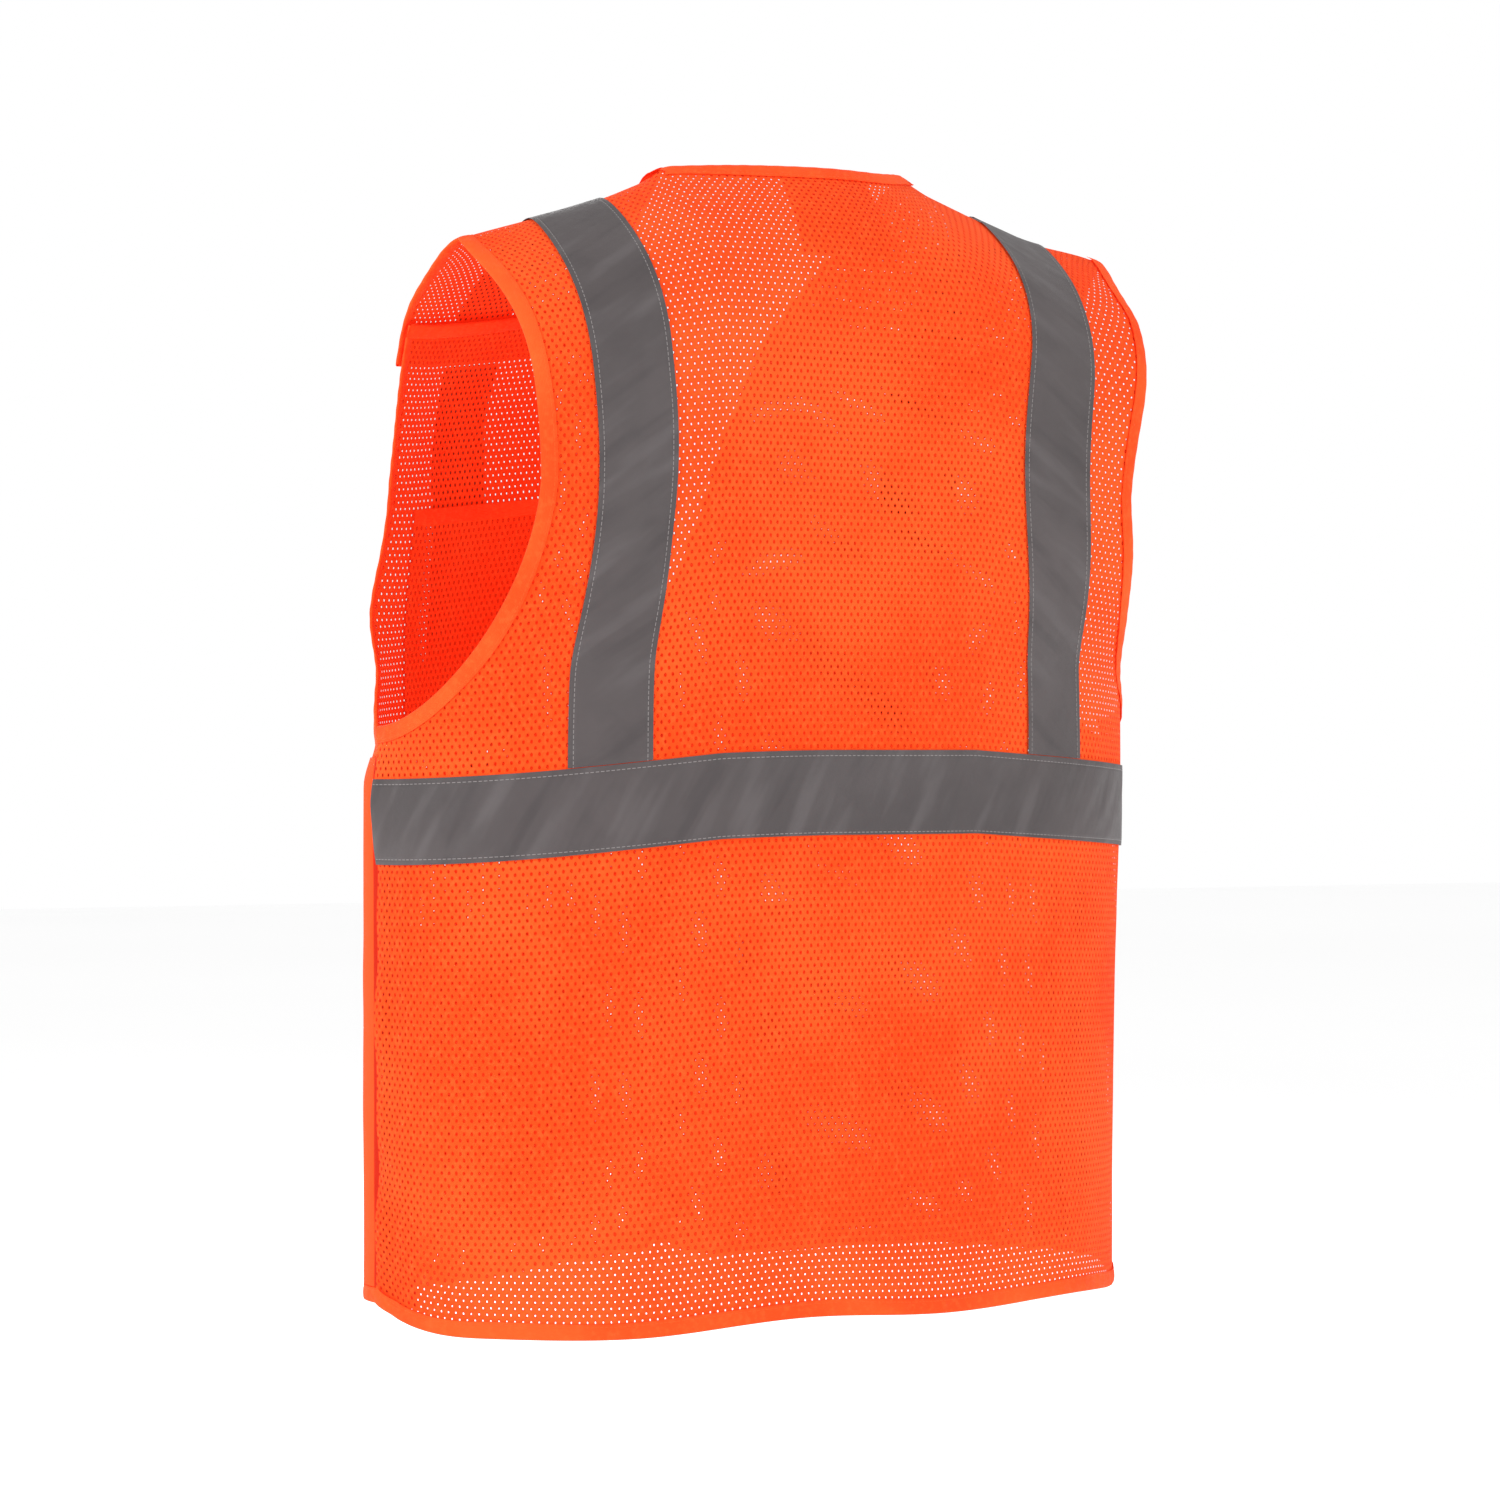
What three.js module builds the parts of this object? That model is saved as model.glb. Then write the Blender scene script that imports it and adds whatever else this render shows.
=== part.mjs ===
// A breakaway high visibility mesh vest, standing open as it is worn. Millimetres, +Z up, back towards +Y.
// The origin is the middle of the line between the two points where the shoulders meet the neckline.
import * as THREE from "three";

// Body form that the vest hangs on
const halfWidth = 258;
const backDepth = 118;
const frontDepth = 127;
const chestWidthLoss = 12;
const chestDepthLoss = 14;
const chestLow = 395;
const chestHigh = 505;
const backSquareness = 2.2;
const shoulderBladeSquareness = 4.2;
const frontSquareness = 2;

// Shoulder ridge and neck
const neckHeight = 696;
const neckHalfWidth = 89;
const neckBulge = 40;
const ridgeSetback = 40;
const shoulderHalfWidth = 226;
const shoulderSlope = 0.326;
const backRoll = 105;
const frontRoll = 160;
const rollPower = 2.4;
const sideSag = 0.4;
const ridgePull = 12;

// Cut of the panels
const backHem = 5;
const frontHem = 20;
const hemCornerRise = 12;
const hemCornerLength = 50;
const frontCornerRise = 24;
const frontCornerLength = 42;
const underarmHeight = 355;
const armholeDepth = 138;
const backNarrow = 206;
const frontNarrow = 252;
const neckPointHeight = 402;
const backScoopPower = 1.45;
const frontScoopPower = 1.2;
const backOverrun = 1;
const frontUnderarmDrop = 16;
const sideLap = 30;
const placketLap = 26;
const frontTopHeight = 622;
const shoulderOverlap = 29;

// Cloth, trims and the clearance between layers
const cloth = 0.8;
const trim = 0.6;
const gap = 0.6;
const bindingWidth = 9;
const tapeWidth = 50.8;
const waistTapeTop = 344;
const shoulderTapeCentre = 156;
const sideHookWidth = 25;
const sideLoopMargin = 14;
const closureStrip = 17;
const placketStrip = 15;
const labelWidth = 61;
const labelHeight = 54;

// Pockets: distances from the centre front and heights above the lowest hem
const chestPocket = { near: 103, far: 222, low: 352, high: 497 };
const lowerPocket = { near: 55, far: 205, low: 38, high: 243 };

// One closed stack of layers: outer cloth, hook strip, loop strip and inner cloth, with their clearances
const closureStack = cloth + 2 * trim + 3 * gap;
const clear = 0.5;
const bindingSlack = 0.15;
const placketSlack = 0.4;
const placketLevel = 4;
const placketRamp = 60;
const mitre = 5;
const flapGap = 1.2;

const clamp = THREE.MathUtils.clamp;
const lerp = THREE.MathUtils.lerp;
const smooth = THREE.MathUtils.smoothstep;

const colours = {
  mesh_fabric: [0xff5f2d, 0.9],
  binding: [0xff6830, 0.85],
  reflective_tape: [0x76706f, 0.45],
  hook_strip: [0xf25a24, 0.95],
  loop_strip: [0xf65c26, 0.95],
  label: [0xff5a2c, 0.8],
};
const materials = {};
for (const [slot, [color, roughness]] of Object.entries(colours)) {
  materials[slot] = new THREE.MeshStandardMaterial({ name: slot, color, roughness, metalness: 0 });
}

// ---------------------------------------------------------------- body form

function shoulderDrop(x) {
  return shoulderSlope * Math.max(0, Math.abs(x) - neckHalfWidth);
}

function ridgeY(facing, x) {
  const across = clamp(Math.abs(x) / neckHalfWidth, 0, 1);
  const bulge = facing > 0 ? neckBulge * (1 - across * across) : 0;
  return ridgeSetback + bulge;
}

function heightOnRow(row, hem, x) {
  const sag = sideSag * row + (1 - sideSag) * Math.pow(Math.max(row, 0), ridgePull);
  return hem + row * (neckHeight - hem) - shoulderDrop(x) * sag;
}

function rowAtHeight(height, hem, x) {
  let row = 0.5;
  for (let step = 0; step < 40; step += 1) {
    row += (height - heightOnRow(row, hem, x)) / (neckHeight * 1.6);
  }
  return row;
}

// Half of a section: angle 0 is the centre line of the side that faces back (+1) or front (-1),
// and 90 degrees is the side line
function formPoint(facing, angle, row, hem) {
  const towards = Math.cos(angle) >= 0 ? facing : -facing;
  const level = row * neckHeight;
  const chest = smooth(level, chestLow, chestHigh);
  const back = towards > 0;
  const blade = lerp(backSquareness, shoulderBladeSquareness, chest);
  const power = 2 / (back ? blade : frontSquareness);
  const width = halfWidth - (facing > 0 ? 0 : chestWidthLoss * chest);
  const depth = back ? backDepth : frontDepth - chestDepthLoss * chest;
  const x = width * Math.pow(Math.abs(Math.sin(angle)), power);
  const full = towards * depth * Math.pow(Math.abs(Math.cos(angle)), power);
  const height = heightOnRow(row, hem, x);
  const roll = facing > 0 ? backRoll : frontRoll;
  const risen = Math.max(0, 1 - (neckHeight - shoulderDrop(x) - height) / roll);
  const y = full + (ridgeY(facing, x) - full) * Math.pow(risen, rollPower);
  return new THREE.Vector3(x, y, height);
}

// Girth along one row, as angles and the lengths run from the centre line
const sectionSteps = 90;
const sectionEnd = THREE.MathUtils.degToRad(125);
const girths = new Map();

function girth(facing, row) {
  const key = `${facing} ${row}`;
  if (!girths.has(key)) {
    const angles = [0];
    const lengths = [0];
    const reaches = [0];
    let last = formPoint(facing, 0, row, 0);
    for (let step = 1; step <= sectionSteps; step += 1) {
      const angle = (sectionEnd * step) / sectionSteps;
      const point = formPoint(facing, angle, row, 0);
      angles.push(angle);
      lengths.push(lengths[step - 1] + point.distanceTo(last));
      reaches.push(point.x);
      last = point;
    }
    girths.set(key, { angles, lengths, reaches });
  }
  return girths.get(key);
}

function readAcross(from, to, value) {
  let step = 1;
  while (step < from.length - 1 && from[step] < value) {
    step += 1;
  }
  const share = (value - from[step - 1]) / (from[step] - from[step - 1]);
  return lerp(to[step - 1], to[step], share);
}

function angleAt(facing, row, length) {
  const table = girth(facing, row);
  return Math.sign(length) * readAcross(table.lengths, table.angles, Math.abs(length));
}

function lengthAtReach(facing, row, x) {
  const table = girth(facing, row);
  return readAcross(table.reaches, table.lengths, x);
}

function lengthAtSide(facing) {
  const table = girth(facing, 0);
  return readAcross(table.angles, table.lengths, Math.PI / 2);
}

function pointAlong(facing, row, length, hem) {
  const angle = angleAt(facing, row, length);
  const point = formPoint(facing, Math.abs(angle), row, hem);
  point.x *= Math.sign(angle) || 1;
  return point;
}

// ---------------------------------------------------------------- panel outlines

const backSide = lengthAtSide(1);
const frontSide = lengthAtSide(-1);
const neckPointRow = rowAtHeight(neckPointHeight, frontHem, 0);
const backScoop = [
  rowAtHeight(underarmHeight, backHem, halfWidth),
  rowAtHeight(underarmHeight + armholeDepth, backHem, backNarrow),
];
const frontScoop = [
  rowAtHeight(underarmHeight - frontUnderarmDrop, frontHem, halfWidth),
  rowAtHeight(underarmHeight + armholeDepth, frontHem, frontNarrow),
];

// Half the width of a panel at a row: straight below the underarm, scooped to its narrowest,
// then out to the shoulder
function armholeEdge(row, [low, high], full, narrow, top, power) {
  const scooped = clamp((row - low) / (high - low), 0, 1);
  if (row <= high) {
    return narrow + (full - narrow) * Math.pow(1 - Math.sqrt(scooped), power);
  }
  const above = (row - high) / (1 - high);
  return narrow + (top - narrow) * above * above;
}

const backTop = lengthAtReach(1, 1, shoulderHalfWidth);
const backNeck = lengthAtReach(1, 1, neckHalfWidth);
const frontTop = lengthAtReach(-1, 1, shoulderHalfWidth);
const frontNeck = lengthAtReach(-1, 1, neckHalfWidth);

function backCut(row) {
  return armholeEdge(row, backScoop, backSide + backOverrun, backNarrow, backTop, backScoopPower);
}

function frontOuterCut(row) {
  return armholeEdge(row, frontScoop, frontSide + sideLap, frontNarrow, frontTop, frontScoopPower);
}

function frontInnerCut(row) {
  const along = clamp((row - neckPointRow) / (1 - neckPointRow), 0, 1.1);
  return -placketLap / 2 + (frontNeck + placketLap / 2) * along;
}

function cornerRise(toCorner, length, rise) {
  const into = clamp(1 - toCorner / length, 0, 1);
  return rise * into * into;
}

// ---------------------------------------------------------------- faceted surfaces that every layer shares

function between(low, high, count) {
  return Array.from({ length: count + 1 }, (_, step) => lerp(low, high, step / count));
}

function joined(...lists) {
  const all = lists.flat().sort((a, b) => a - b);
  return all.filter((value, index) => index === 0 || value - all[index - 1] > 1e-6);
}

// A surface holds a grid of points and normals; layers on it differ only in how far they are lifted off it
function makeSurface(rows, columns, place, sink) {
  const step = 1e-3;
  const grid = rows.map((row) =>
    columns.map((column) => {
      const point = place(row, column);
      const up = place(row + step, column).sub(place(row - step, column));
      const across = place(row, column + step).sub(place(row, column - step));
      const normal = up.cross(across).normalize();
      return { point, normal, sink: sink(row, column) };
    }),
  );
  return { rows, columns, grid };
}

function cellOf(stations, value) {
  let cell = 0;
  while (cell < stations.length - 2 && stations[cell + 1] < value) {
    cell += 1;
  }
  return [cell, (value - stations[cell]) / (stations[cell + 1] - stations[cell])];
}

function at(surface, row, column, lift) {
  const [low, up] = cellOf(surface.rows, row);
  const [left, across] = cellOf(surface.columns, column);
  const result = new THREE.Vector3();
  for (const [r, rowShare] of [[low, 1 - up], [low + 1, up]]) {
    for (const [c, columnShare] of [[left, 1 - across], [left + 1, across]]) {
      const knot = surface.grid[r][c];
      const share = rowShare * columnShare;
      result.addScaledVector(knot.point, share);
      result.addScaledVector(knot.normal, share * (surface.facing * lift - surface.facing * knot.sink));
    }
  }
  return result;
}

function slopes(surface, row, column) {
  const step = 1e-3;
  const up = at(surface, row + step, column, 0).sub(at(surface, row - step, column, 0));
  const across = at(surface, row, column + step, 0).sub(at(surface, row, column - step, 0));
  return [up.divideScalar(2 * step), across.divideScalar(2 * step)];
}

// The row that lies at least a distance above (or, if negative, below) a row at every column
function upBy(surface, row, distance) {
  const steepness = surface.columns.map((column) => slopes(surface, row, column)[0].length());
  return row + distance / Math.min(...steepness);
}

function rowsWithin(surface, low, high) {
  return joined([low, high], surface.rows.filter((row) => row > low && row < high));
}

function columnsWithin(surface, low, high) {
  return joined([low, high], surface.columns.filter((column) => column > low && column < high));
}

// Columns at the side closure stand at the same distances from the side line on the back and on the fronts
const sideStations = [-backOverrun, 0, sideLap / 3, (2 * sideLap) / 3, sideLap];

// Rows crowd towards the underarm, where the armhole turns into the side
const backScoopRows = { count: 14, crowding: 1.5 };
const frontScoopRows = { count: 12, crowding: 1.45 };

function scoopRows([low, high], { count, crowding }) {
  return between(0, 1, count).map((share) => lerp(low, high, Math.pow(share, crowding)));
}

function makeBack() {
  const fullCut = backSide + backOverrun;
  const neckColumn = backNeck / backTop;
  const side = sideStations.map((distance) => (backSide - distance) / fullCut);
  const inward = Math.min(...side);
  const half = joined(between(0, neckColumn, 5), between(neckColumn, inward, 8), side);
  const columns = joined(half, half.map((column) => -column));
  const scooped = scoopRows(backScoop, backScoopRows);
  const rows = joined(between(0, backScoop[0], 2), scooped, between(backScoop[1], 1, 8));
  const hem = (column) => {
    const toCorner = (1 - Math.abs(column)) * fullCut;
    return backHem + cornerRise(toCorner, hemCornerLength, hemCornerRise);
  };
  const place = (row, column) => pointAlong(1, row, column * backCut(row), hem(column));
  return { ...makeSurface(rows, columns, place, () => 0), facing: 1, cut: backCut, inner: () => 0, hem };
}

function makeFront(rightHand) {
  const fullCut = frontSide + sideLap + placketLap / 2;
  const side = sideStations.map((distance) => (placketLap / 2 + frontSide + distance) / fullCut);
  const columns = joined(between(0, Math.min(...side), 13), side);
  const topRow = rowAtHeight(frontTopHeight, frontHem, neckHalfWidth);
  const endRow = topRow - shoulderOverlap / neckHeight;
  const rows = joined(
    between(0, frontScoop[0], 2),
    scoopRows(frontScoop, frontScoopRows),
    [neckPointRow],
    between(frontScoop[1], endRow, 4),
    [(endRow + topRow) / 2],
    between(topRow, 1, 4),
  );
  const lengthOf = (row, column) => lerp(frontInnerCut(row), frontOuterCut(row), column);
  const hem = (column) => frontHem + cornerRise(column * fullCut, frontCornerLength, frontCornerRise);
  const place = (row, column) => pointAlong(-1, row, lengthOf(row, column), hem(column));
  const placketSink = (row, column) => {
    const risen = smooth(lengthOf(row, column), placketLap / 2 + placketLevel, placketLap + placketRamp);
    return rightHand ? (closureStack + placketSlack) * (1 - risen) : 0;
  };
  const surface = makeSurface(rows, columns, place, placketSink);
  return { ...surface, facing: -1, cut: frontOuterCut, inner: frontInnerCut, hem, topRow, endRow };
}

// Column of a surface at a length run from the centre line
function columnAt(surface, row, length) {
  const inner = surface.inner(row);
  return (length - inner) / (surface.cut(row) - inner);
}

// ---------------------------------------------------------------- solids

// Joins rings of points into one closed body; a cap is a list of four-cornered cells over a ring
function ringsToGeometry(rings, cap) {
  const count = rings[0].length;
  const points = rings.flat();
  const positions = points.flatMap((point) => point.toArray());
  const index = [];
  for (let ring = 0; ring < rings.length - 1; ring += 1) {
    for (let side = 0; side < count; side += 1) {
      const a = ring * count + side;
      const b = ring * count + ((side + 1) % count);
      const rising = points[a].distanceTo(points[b + count]);
      const falling = points[b].distanceTo(points[a + count]);
      if (rising < falling) {
        index.push(a, b, b + count, a, b + count, a + count);
      } else {
        index.push(a, b, a + count, b, b + count, a + count);
      }
    }
  }
  const last = (rings.length - 1) * count;
  for (const [a, b, c, d] of cap) {
    index.push(a, c, b, a, d, c);
    index.push(last + a, last + b, last + c, last + a, last + c, last + d);
  }
  const geometry = new THREE.BufferGeometry();
  geometry.setAttribute("position", new THREE.Float32BufferAttribute(positions, 3));
  geometry.setIndex(index);
  return facingOut(geometry);
}

function turnOver(geometry) {
  const index = geometry.getIndex().array;
  for (let corner = 0; corner < index.length; corner += 3) {
    [index[corner + 1], index[corner + 2]] = [index[corner + 2], index[corner + 1]];
  }
  return geometry;
}

function facingOut(geometry) {
  const position = geometry.getAttribute("position");
  const index = geometry.getIndex().array;
  const [a, b, c] = [new THREE.Vector3(), new THREE.Vector3(), new THREE.Vector3()];
  let volume = 0;
  for (let corner = 0; corner < index.length; corner += 3) {
    a.fromBufferAttribute(position, index[corner]);
    b.fromBufferAttribute(position, index[corner + 1]);
    c.fromBufferAttribute(position, index[corner + 2]);
    volume += a.dot(b.cross(c));
  }
  if (volume < 0) {
    turnOver(geometry);
  }
  geometry.computeVertexNormals();
  return geometry;
}

// End cells of a ring whose first half is a layer's upper side and second half its lower side
function layerCap(count) {
  const last = count - 1;
  return Array.from({ length: count / 2 - 1 }, (_, side) => [side, side + 1, last - 1 - side, last - side]);
}

// A layer of cloth, tape or label lying on a surface between two lifts
function layer(surface, rows, columnsOn, low, high) {
  const rings = rows.map((row) => {
    const columns = columnsOn(row);
    const upper = columns.map((column) => at(surface, row, column, high));
    const lower = columns.map((column) => at(surface, row, column, low));
    return [...upper, ...lower.reverse()];
  });
  return ringsToGeometry(rings, layerCap(rings[0].length));
}

// A layer over the same columns at every row
function plainLayer(surface, lowRow, highRow, lowColumn, highColumn, low, high) {
  const columns = columnsWithin(surface, lowColumn, highColumn);
  return layer(surface, rowsWithin(surface, lowRow, highRow), () => columns, low, high);
}

// A layer whose sides keep their distances from the centre line
function lengthLayer(surface, lowRow, highRow, near, far, low, high, cells = 4) {
  const columnsOn = (row) => {
    const first = columnAt(surface, row, near(row));
    const last = columnAt(surface, row, far(row));
    return between(first, last, cells);
  };
  return layer(surface, rowsWithin(surface, lowRow, highRow), columnsOn, low, high);
}

// A band of constant width, measured down the cloth from its top row
function bandLayer(surface, highRow, width, lowColumn, highColumn, low, high) {
  const rings = columnsWithin(surface, lowColumn, highColumn).map((column) => {
    const lowRow = highRow - width / slopes(surface, highRow, column)[0].length();
    const rows = rowsWithin(surface, lowRow, highRow);
    const upper = rows.map((row) => at(surface, row, column, high));
    const lower = rows.map((row) => at(surface, row, column, low));
    return [...upper, ...lower.reverse()];
  });
  return ringsToGeometry(rings, layerCap(rings[0].length));
}

// A strip folded round the edge of a cloth: route is the edge's list of [row, column],
// and inward points into the cloth
function binding(surface, route, inward) {
  const reach = gap + trim;
  const inside = gap + bindingSlack;
  const levels = [
    [bindingWidth, cloth + reach],
    [-reach, cloth + reach],
    [-reach, -reach],
    [bindingWidth, -reach],
    [bindingWidth, -inside],
    [-inside, -inside],
    [-inside, cloth + inside],
    [bindingWidth, cloth + inside],
  ];
  const rings = route.map(([row, column], index) => {
    const before = route[Math.max(index - 1, 0)];
    const after = route[Math.min(index + 1, route.length - 1)];
    const along = at(surface, after[0], after[1], 0).sub(at(surface, before[0], before[1], 0)).normalize();
    const [up, across] = slopes(surface, row, column);
    const normal = up.clone().cross(across).normalize();
    const into = normal.cross(along).normalize();
    const shared = up.dot(across);
    const scale = up.lengthSq() * across.lengthSq() - shared * shared;
    let rowStep = (into.dot(up) * across.lengthSq() - into.dot(across) * shared) / scale;
    let columnStep = (into.dot(across) * up.lengthSq() - into.dot(up) * shared) / scale;
    if (rowStep * inward[0] + columnStep * inward[1] < 0) {
      rowStep = -rowStep;
      columnStep = -columnStep;
    }
    return levels.map(([inset, lift]) => {
      return at(surface, row + rowStep * inset, column + columnStep * inset, lift);
    });
  });
  return ringsToGeometry(rings, [[0, 1, 6, 7], [1, 2, 5, 6], [2, 3, 4, 5]]);
}

function mirrored(geometry) {
  return turnOver(geometry.clone().scale(-1, 1, 1));
}

// ---------------------------------------------------------------- the vest

const vest = new THREE.Group();
vest.position.set(0, -ridgeSetback, -neckHeight);

function add(name, slot, geometry) {
  const mesh = new THREE.Mesh(geometry, materials[slot]);
  mesh.name = name;
  vest.add(mesh);
}

const overCloth = [cloth + gap, cloth + gap + trim];
const underCloth = [-gap - trim, -gap];

function columnRoute(surface, lowRow, highRow, column) {
  return rowsWithin(surface, lowRow, highRow).map((row) => [row, column]);
}

function rowRoute(surface, row, lowColumn, highColumn) {
  return columnsWithin(surface, lowColumn, highColumn).map((column) => [row, column]);
}

function tapeEdges(facing) {
  const centre = (row) => lengthAtReach(facing, row, shoulderTapeCentre);
  return [(row) => centre(row) - tapeWidth / 2, (row) => centre(row) + tapeWidth / 2];
}

function addBack() {
  const back = makeBack();
  const tip = upBy(back, 1, -flapGap / 2);
  const neckColumn = backNeck / backTop;
  const hemTop = upBy(back, 0, bindingWidth + clear);
  const tapeHigh = rowAtHeight(waistTapeTop, backHem, 0);
  const tapeEnd = 1 - clear / backSide;
  const [near, far] = tapeEdges(1);

  add("back_panel", "mesh_fabric", plainLayer(back, 0, tip, -1, 1, 0, cloth));
  add("neck_binding", "binding", binding(back, rowRoute(back, tip, -neckColumn, neckColumn), [-1, 0]));
  add("back_hem_binding", "binding", binding(back, rowRoute(back, 0, -1, 1), [1, 0]));
  const waist = bandLayer(back, tapeHigh, tapeWidth, -tapeEnd, tapeEnd, ...overCloth);
  add("back_waist_tape", "reflective_tape", waist);

  const armhole = binding(back, columnRoute(back, backScoop[0], upBy(back, tip, -2 * clear), 1), [0, -1]);
  const shoulderLow = upBy(back, tapeHigh, clear);
  const shoulderTape = lengthLayer(back, shoulderLow, tip, near, far, ...overCloth);
  const hookNear = columnAt(back, 0, backSide - sideHookWidth + backOverrun);
  const hookHigh = upBy(back, backScoop[0], -bindingWidth - clear);
  const sideHook = plainLayer(back, upBy(back, hemTop, mitre), hookHigh, hookNear, 1, ...underCloth);
  for (const [hand, given] of [["left", (g) => g], ["right", mirrored]]) {
    add(`${hand}_back_armhole_binding`, "binding", given(armhole));
    add(`${hand}_back_shoulder_tape`, "reflective_tape", given(shoulderTape));
    add(`${hand}_side_hook_strip`, "hook_strip", given(sideHook));
  }

  const labelTop = upBy(back, tip, -bindingWidth - clear);
  const labelLow = labelTop - labelHeight / slopes(back, labelTop, 0)[0].length();
  const labelSide = () => labelWidth / 2;
  const label = lengthLayer(back, labelLow, labelTop, () => -labelWidth / 2, labelSide, ...underCloth, 6);
  add("neck_label", "label", label);
}

function addFlap(hand, given) {
  const front = makeFront(false);
  const crest = upBy(front, 1, -flapGap / 2);
  const end = front.endRow;
  const trimLow = upBy(front, end, bindingWidth + clear);
  const hookHigh = upBy(front, trimLow, closureStrip);
  const edge = 2 * clear + bindingWidth;
  const width = at(front, end, 0, 0).distanceTo(at(front, end, 1, 0));
  const inset = edge / width;
  const [near, far] = tapeEdges(-1);

  const panel = plainLayer(front, end, crest, 0, 1, 0, cloth);
  const tape = lengthLayer(front, trimLow, crest, near, far, ...overCloth);
  const hook = plainLayer(front, trimLow, hookHigh, inset, 1 - inset, ...underCloth);
  const sideTop = upBy(front, crest, -2 * clear);
  add(`${hand}_shoulder_flap`, "mesh_fabric", given(panel));
  add(`${hand}_flap_tape`, "reflective_tape", given(tape));
  const armhole = binding(front, columnRoute(front, trimLow, sideTop, 1), [0, -1]);
  add(`${hand}_flap_armhole_binding`, "binding", given(armhole));
  const neck = binding(front, columnRoute(front, trimLow, sideTop, 0), [0, 1]);
  add(`${hand}_flap_neck_binding`, "binding", given(neck));
  add(`${hand}_flap_end_binding`, "binding", given(binding(front, rowRoute(front, end, 0, 1), [1, 0])));
  add(`${hand}_flap_hook_strip`, "hook_strip", given(hook));
}

// The same surface, a distance further in
function sunk(surface, distance) {
  const sinkKnot = (knot) => ({ ...knot, sink: knot.sink + distance });
  return { ...surface, grid: surface.grid.map((knots) => knots.map(sinkKnot)) };
}

function addFrontPanel(hand, given, front) {
  const base = sunk(front, closureStack);
  const top = front.topRow;
  const hemTop = upBy(base, 0, bindingWidth + clear);
  const topLow = upBy(base, top, -bindingWidth - clear);
  const edgeInset = (row, distance) => columnAt(base, row, base.inner(row) + distance);

  add(`${hand}_front_panel`, "mesh_fabric", given(plainLayer(base, 0, top, 0, 1, 0, cloth)));
  add(`${hand}_front_hem_binding`, "binding", given(binding(base, rowRoute(base, 0, 0, 1), [1, 0])));
  add(`${hand}_front_top_binding`, "binding", given(binding(base, rowRoute(base, top, 0, 1), [-1, 0])));
  const armhole = binding(base, columnRoute(base, frontScoop[0], upBy(base, topLow, -mitre), 1), [0, -1]);
  add(`${hand}_front_armhole_binding`, "binding", given(armhole));
  const edge = binding(base, columnRoute(base, hemTop, topLow, 0), [0, 1]);
  add(`${hand}_front_edge_binding`, "binding", given(edge));

  // Reflective tapes on the outside
  const leftHand = hand === "left";
  const tapeHigh = rowAtHeight(waistTapeTop, frontHem, 0);
  const tapeNear = edgeInset(tapeHigh, leftHand ? bindingWidth + clear : placketLap + clear);
  const tapeFar = columnAt(base, 0, frontSide - sideLoopMargin - clear);
  const waist = bandLayer(base, tapeHigh, tapeWidth, tapeNear, tapeFar, ...overCloth);
  add(`${hand}_front_waist_tape`, "reflective_tape", given(waist));
  const [near, far] = tapeEdges(-1);
  const shoulderLow = upBy(base, tapeHigh, clear);
  const shoulderHigh = upBy(base, front.endRow, -clear - gap - trim);
  const shoulder = lengthLayer(base, shoulderLow, shoulderHigh, near, far, ...overCloth);
  add(`${hand}_front_shoulder_tape`, "reflective_tape", given(shoulder));

  // Hook-and-loop of the front closing, the shoulder and the side
  const stripNear = (row) => base.inner(row) + bindingWidth + clear;
  const stripFar = (row) => stripNear(row) + placketStrip;
  const stripLow = upBy(base, hemTop, frontCornerLength / 2);
  const stripHigh = upBy(base, neckPointRow, -2 * placketStrip);
  const stripLevels = leftHand ? underCloth : overCloth;
  const strip = lengthLayer(base, stripLow, stripHigh, stripNear, stripFar, ...stripLevels, 1);
  const stripKind = leftHand ? "hook" : "loop";
  add(`${hand}_placket_${stripKind}_strip`, `${stripKind}_strip`, given(strip));
  const width = at(base, top, 0, 0).distanceTo(at(base, top, 1, 0));
  const inset = (bindingWidth + clear) / width;
  const loopLow = upBy(base, topLow, -closureStrip);
  const shoulderLoop = plainLayer(base, loopLow, topLow, inset, 1 - inset, ...overCloth);
  add(`${hand}_shoulder_loop_strip`, "loop_strip", given(shoulderLoop));
  const sideNear = columnAt(base, 0, frontSide - sideLoopMargin);
  const sideHigh = upBy(base, frontScoop[0], -bindingWidth - clear);
  const sideLoop = plainLayer(base, hemTop, sideHigh, sideNear, 1, ...overCloth);
  add(`${hand}_side_loop_strip`, "loop_strip", given(sideLoop));
  return base;
}

// A pocket is a bag sewn flat: one sheet with its open top edge bound
function addPocket(hand, given, base, name, size, levels) {
  const low = rowAtHeight(size.low, frontHem, 0);
  const high = rowAtHeight(size.high, frontHem, 0);
  const [near, far] = [() => size.near, () => size.far];
  const bound = upBy(base, high, -bindingWidth);
  const sheet = lengthLayer(base, low, upBy(base, bound, -clear), near, far, ...levels, 10);
  const strip = lengthLayer(base, bound, high, near, far, ...levels, 10);
  add(`${hand}_${name}`, "mesh_fabric", given(sheet));
  add(`${hand}_${name}_binding`, "binding", given(strip));
}

function addFront(hand, given) {
  const front = makeFront(hand === "right");
  const base = addFrontPanel(hand, given, front);
  addPocket(hand, given, base, "chest_pocket", chestPocket, underCloth);
  addPocket(hand, given, base, "lower_pocket", lowerPocket, overCloth);
}

addBack();
for (const [hand, given] of [["left", (geometry) => geometry], ["right", mirrored]]) {
  addFlap(hand, given);
  addFront(hand, given);
}

export default vest;
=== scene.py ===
"""A breakaway high visibility vest: lace mesh cloth, bound edges and reflective tape on the CAD frame.

The cloth is built on the same form as the CAD solids, as smooth sheets with soft folds. Form sizes are
in millimetres from the lowest hem and the axis of the body, and to_frame() turns points into metres.
"""

import itertools
import math

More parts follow.
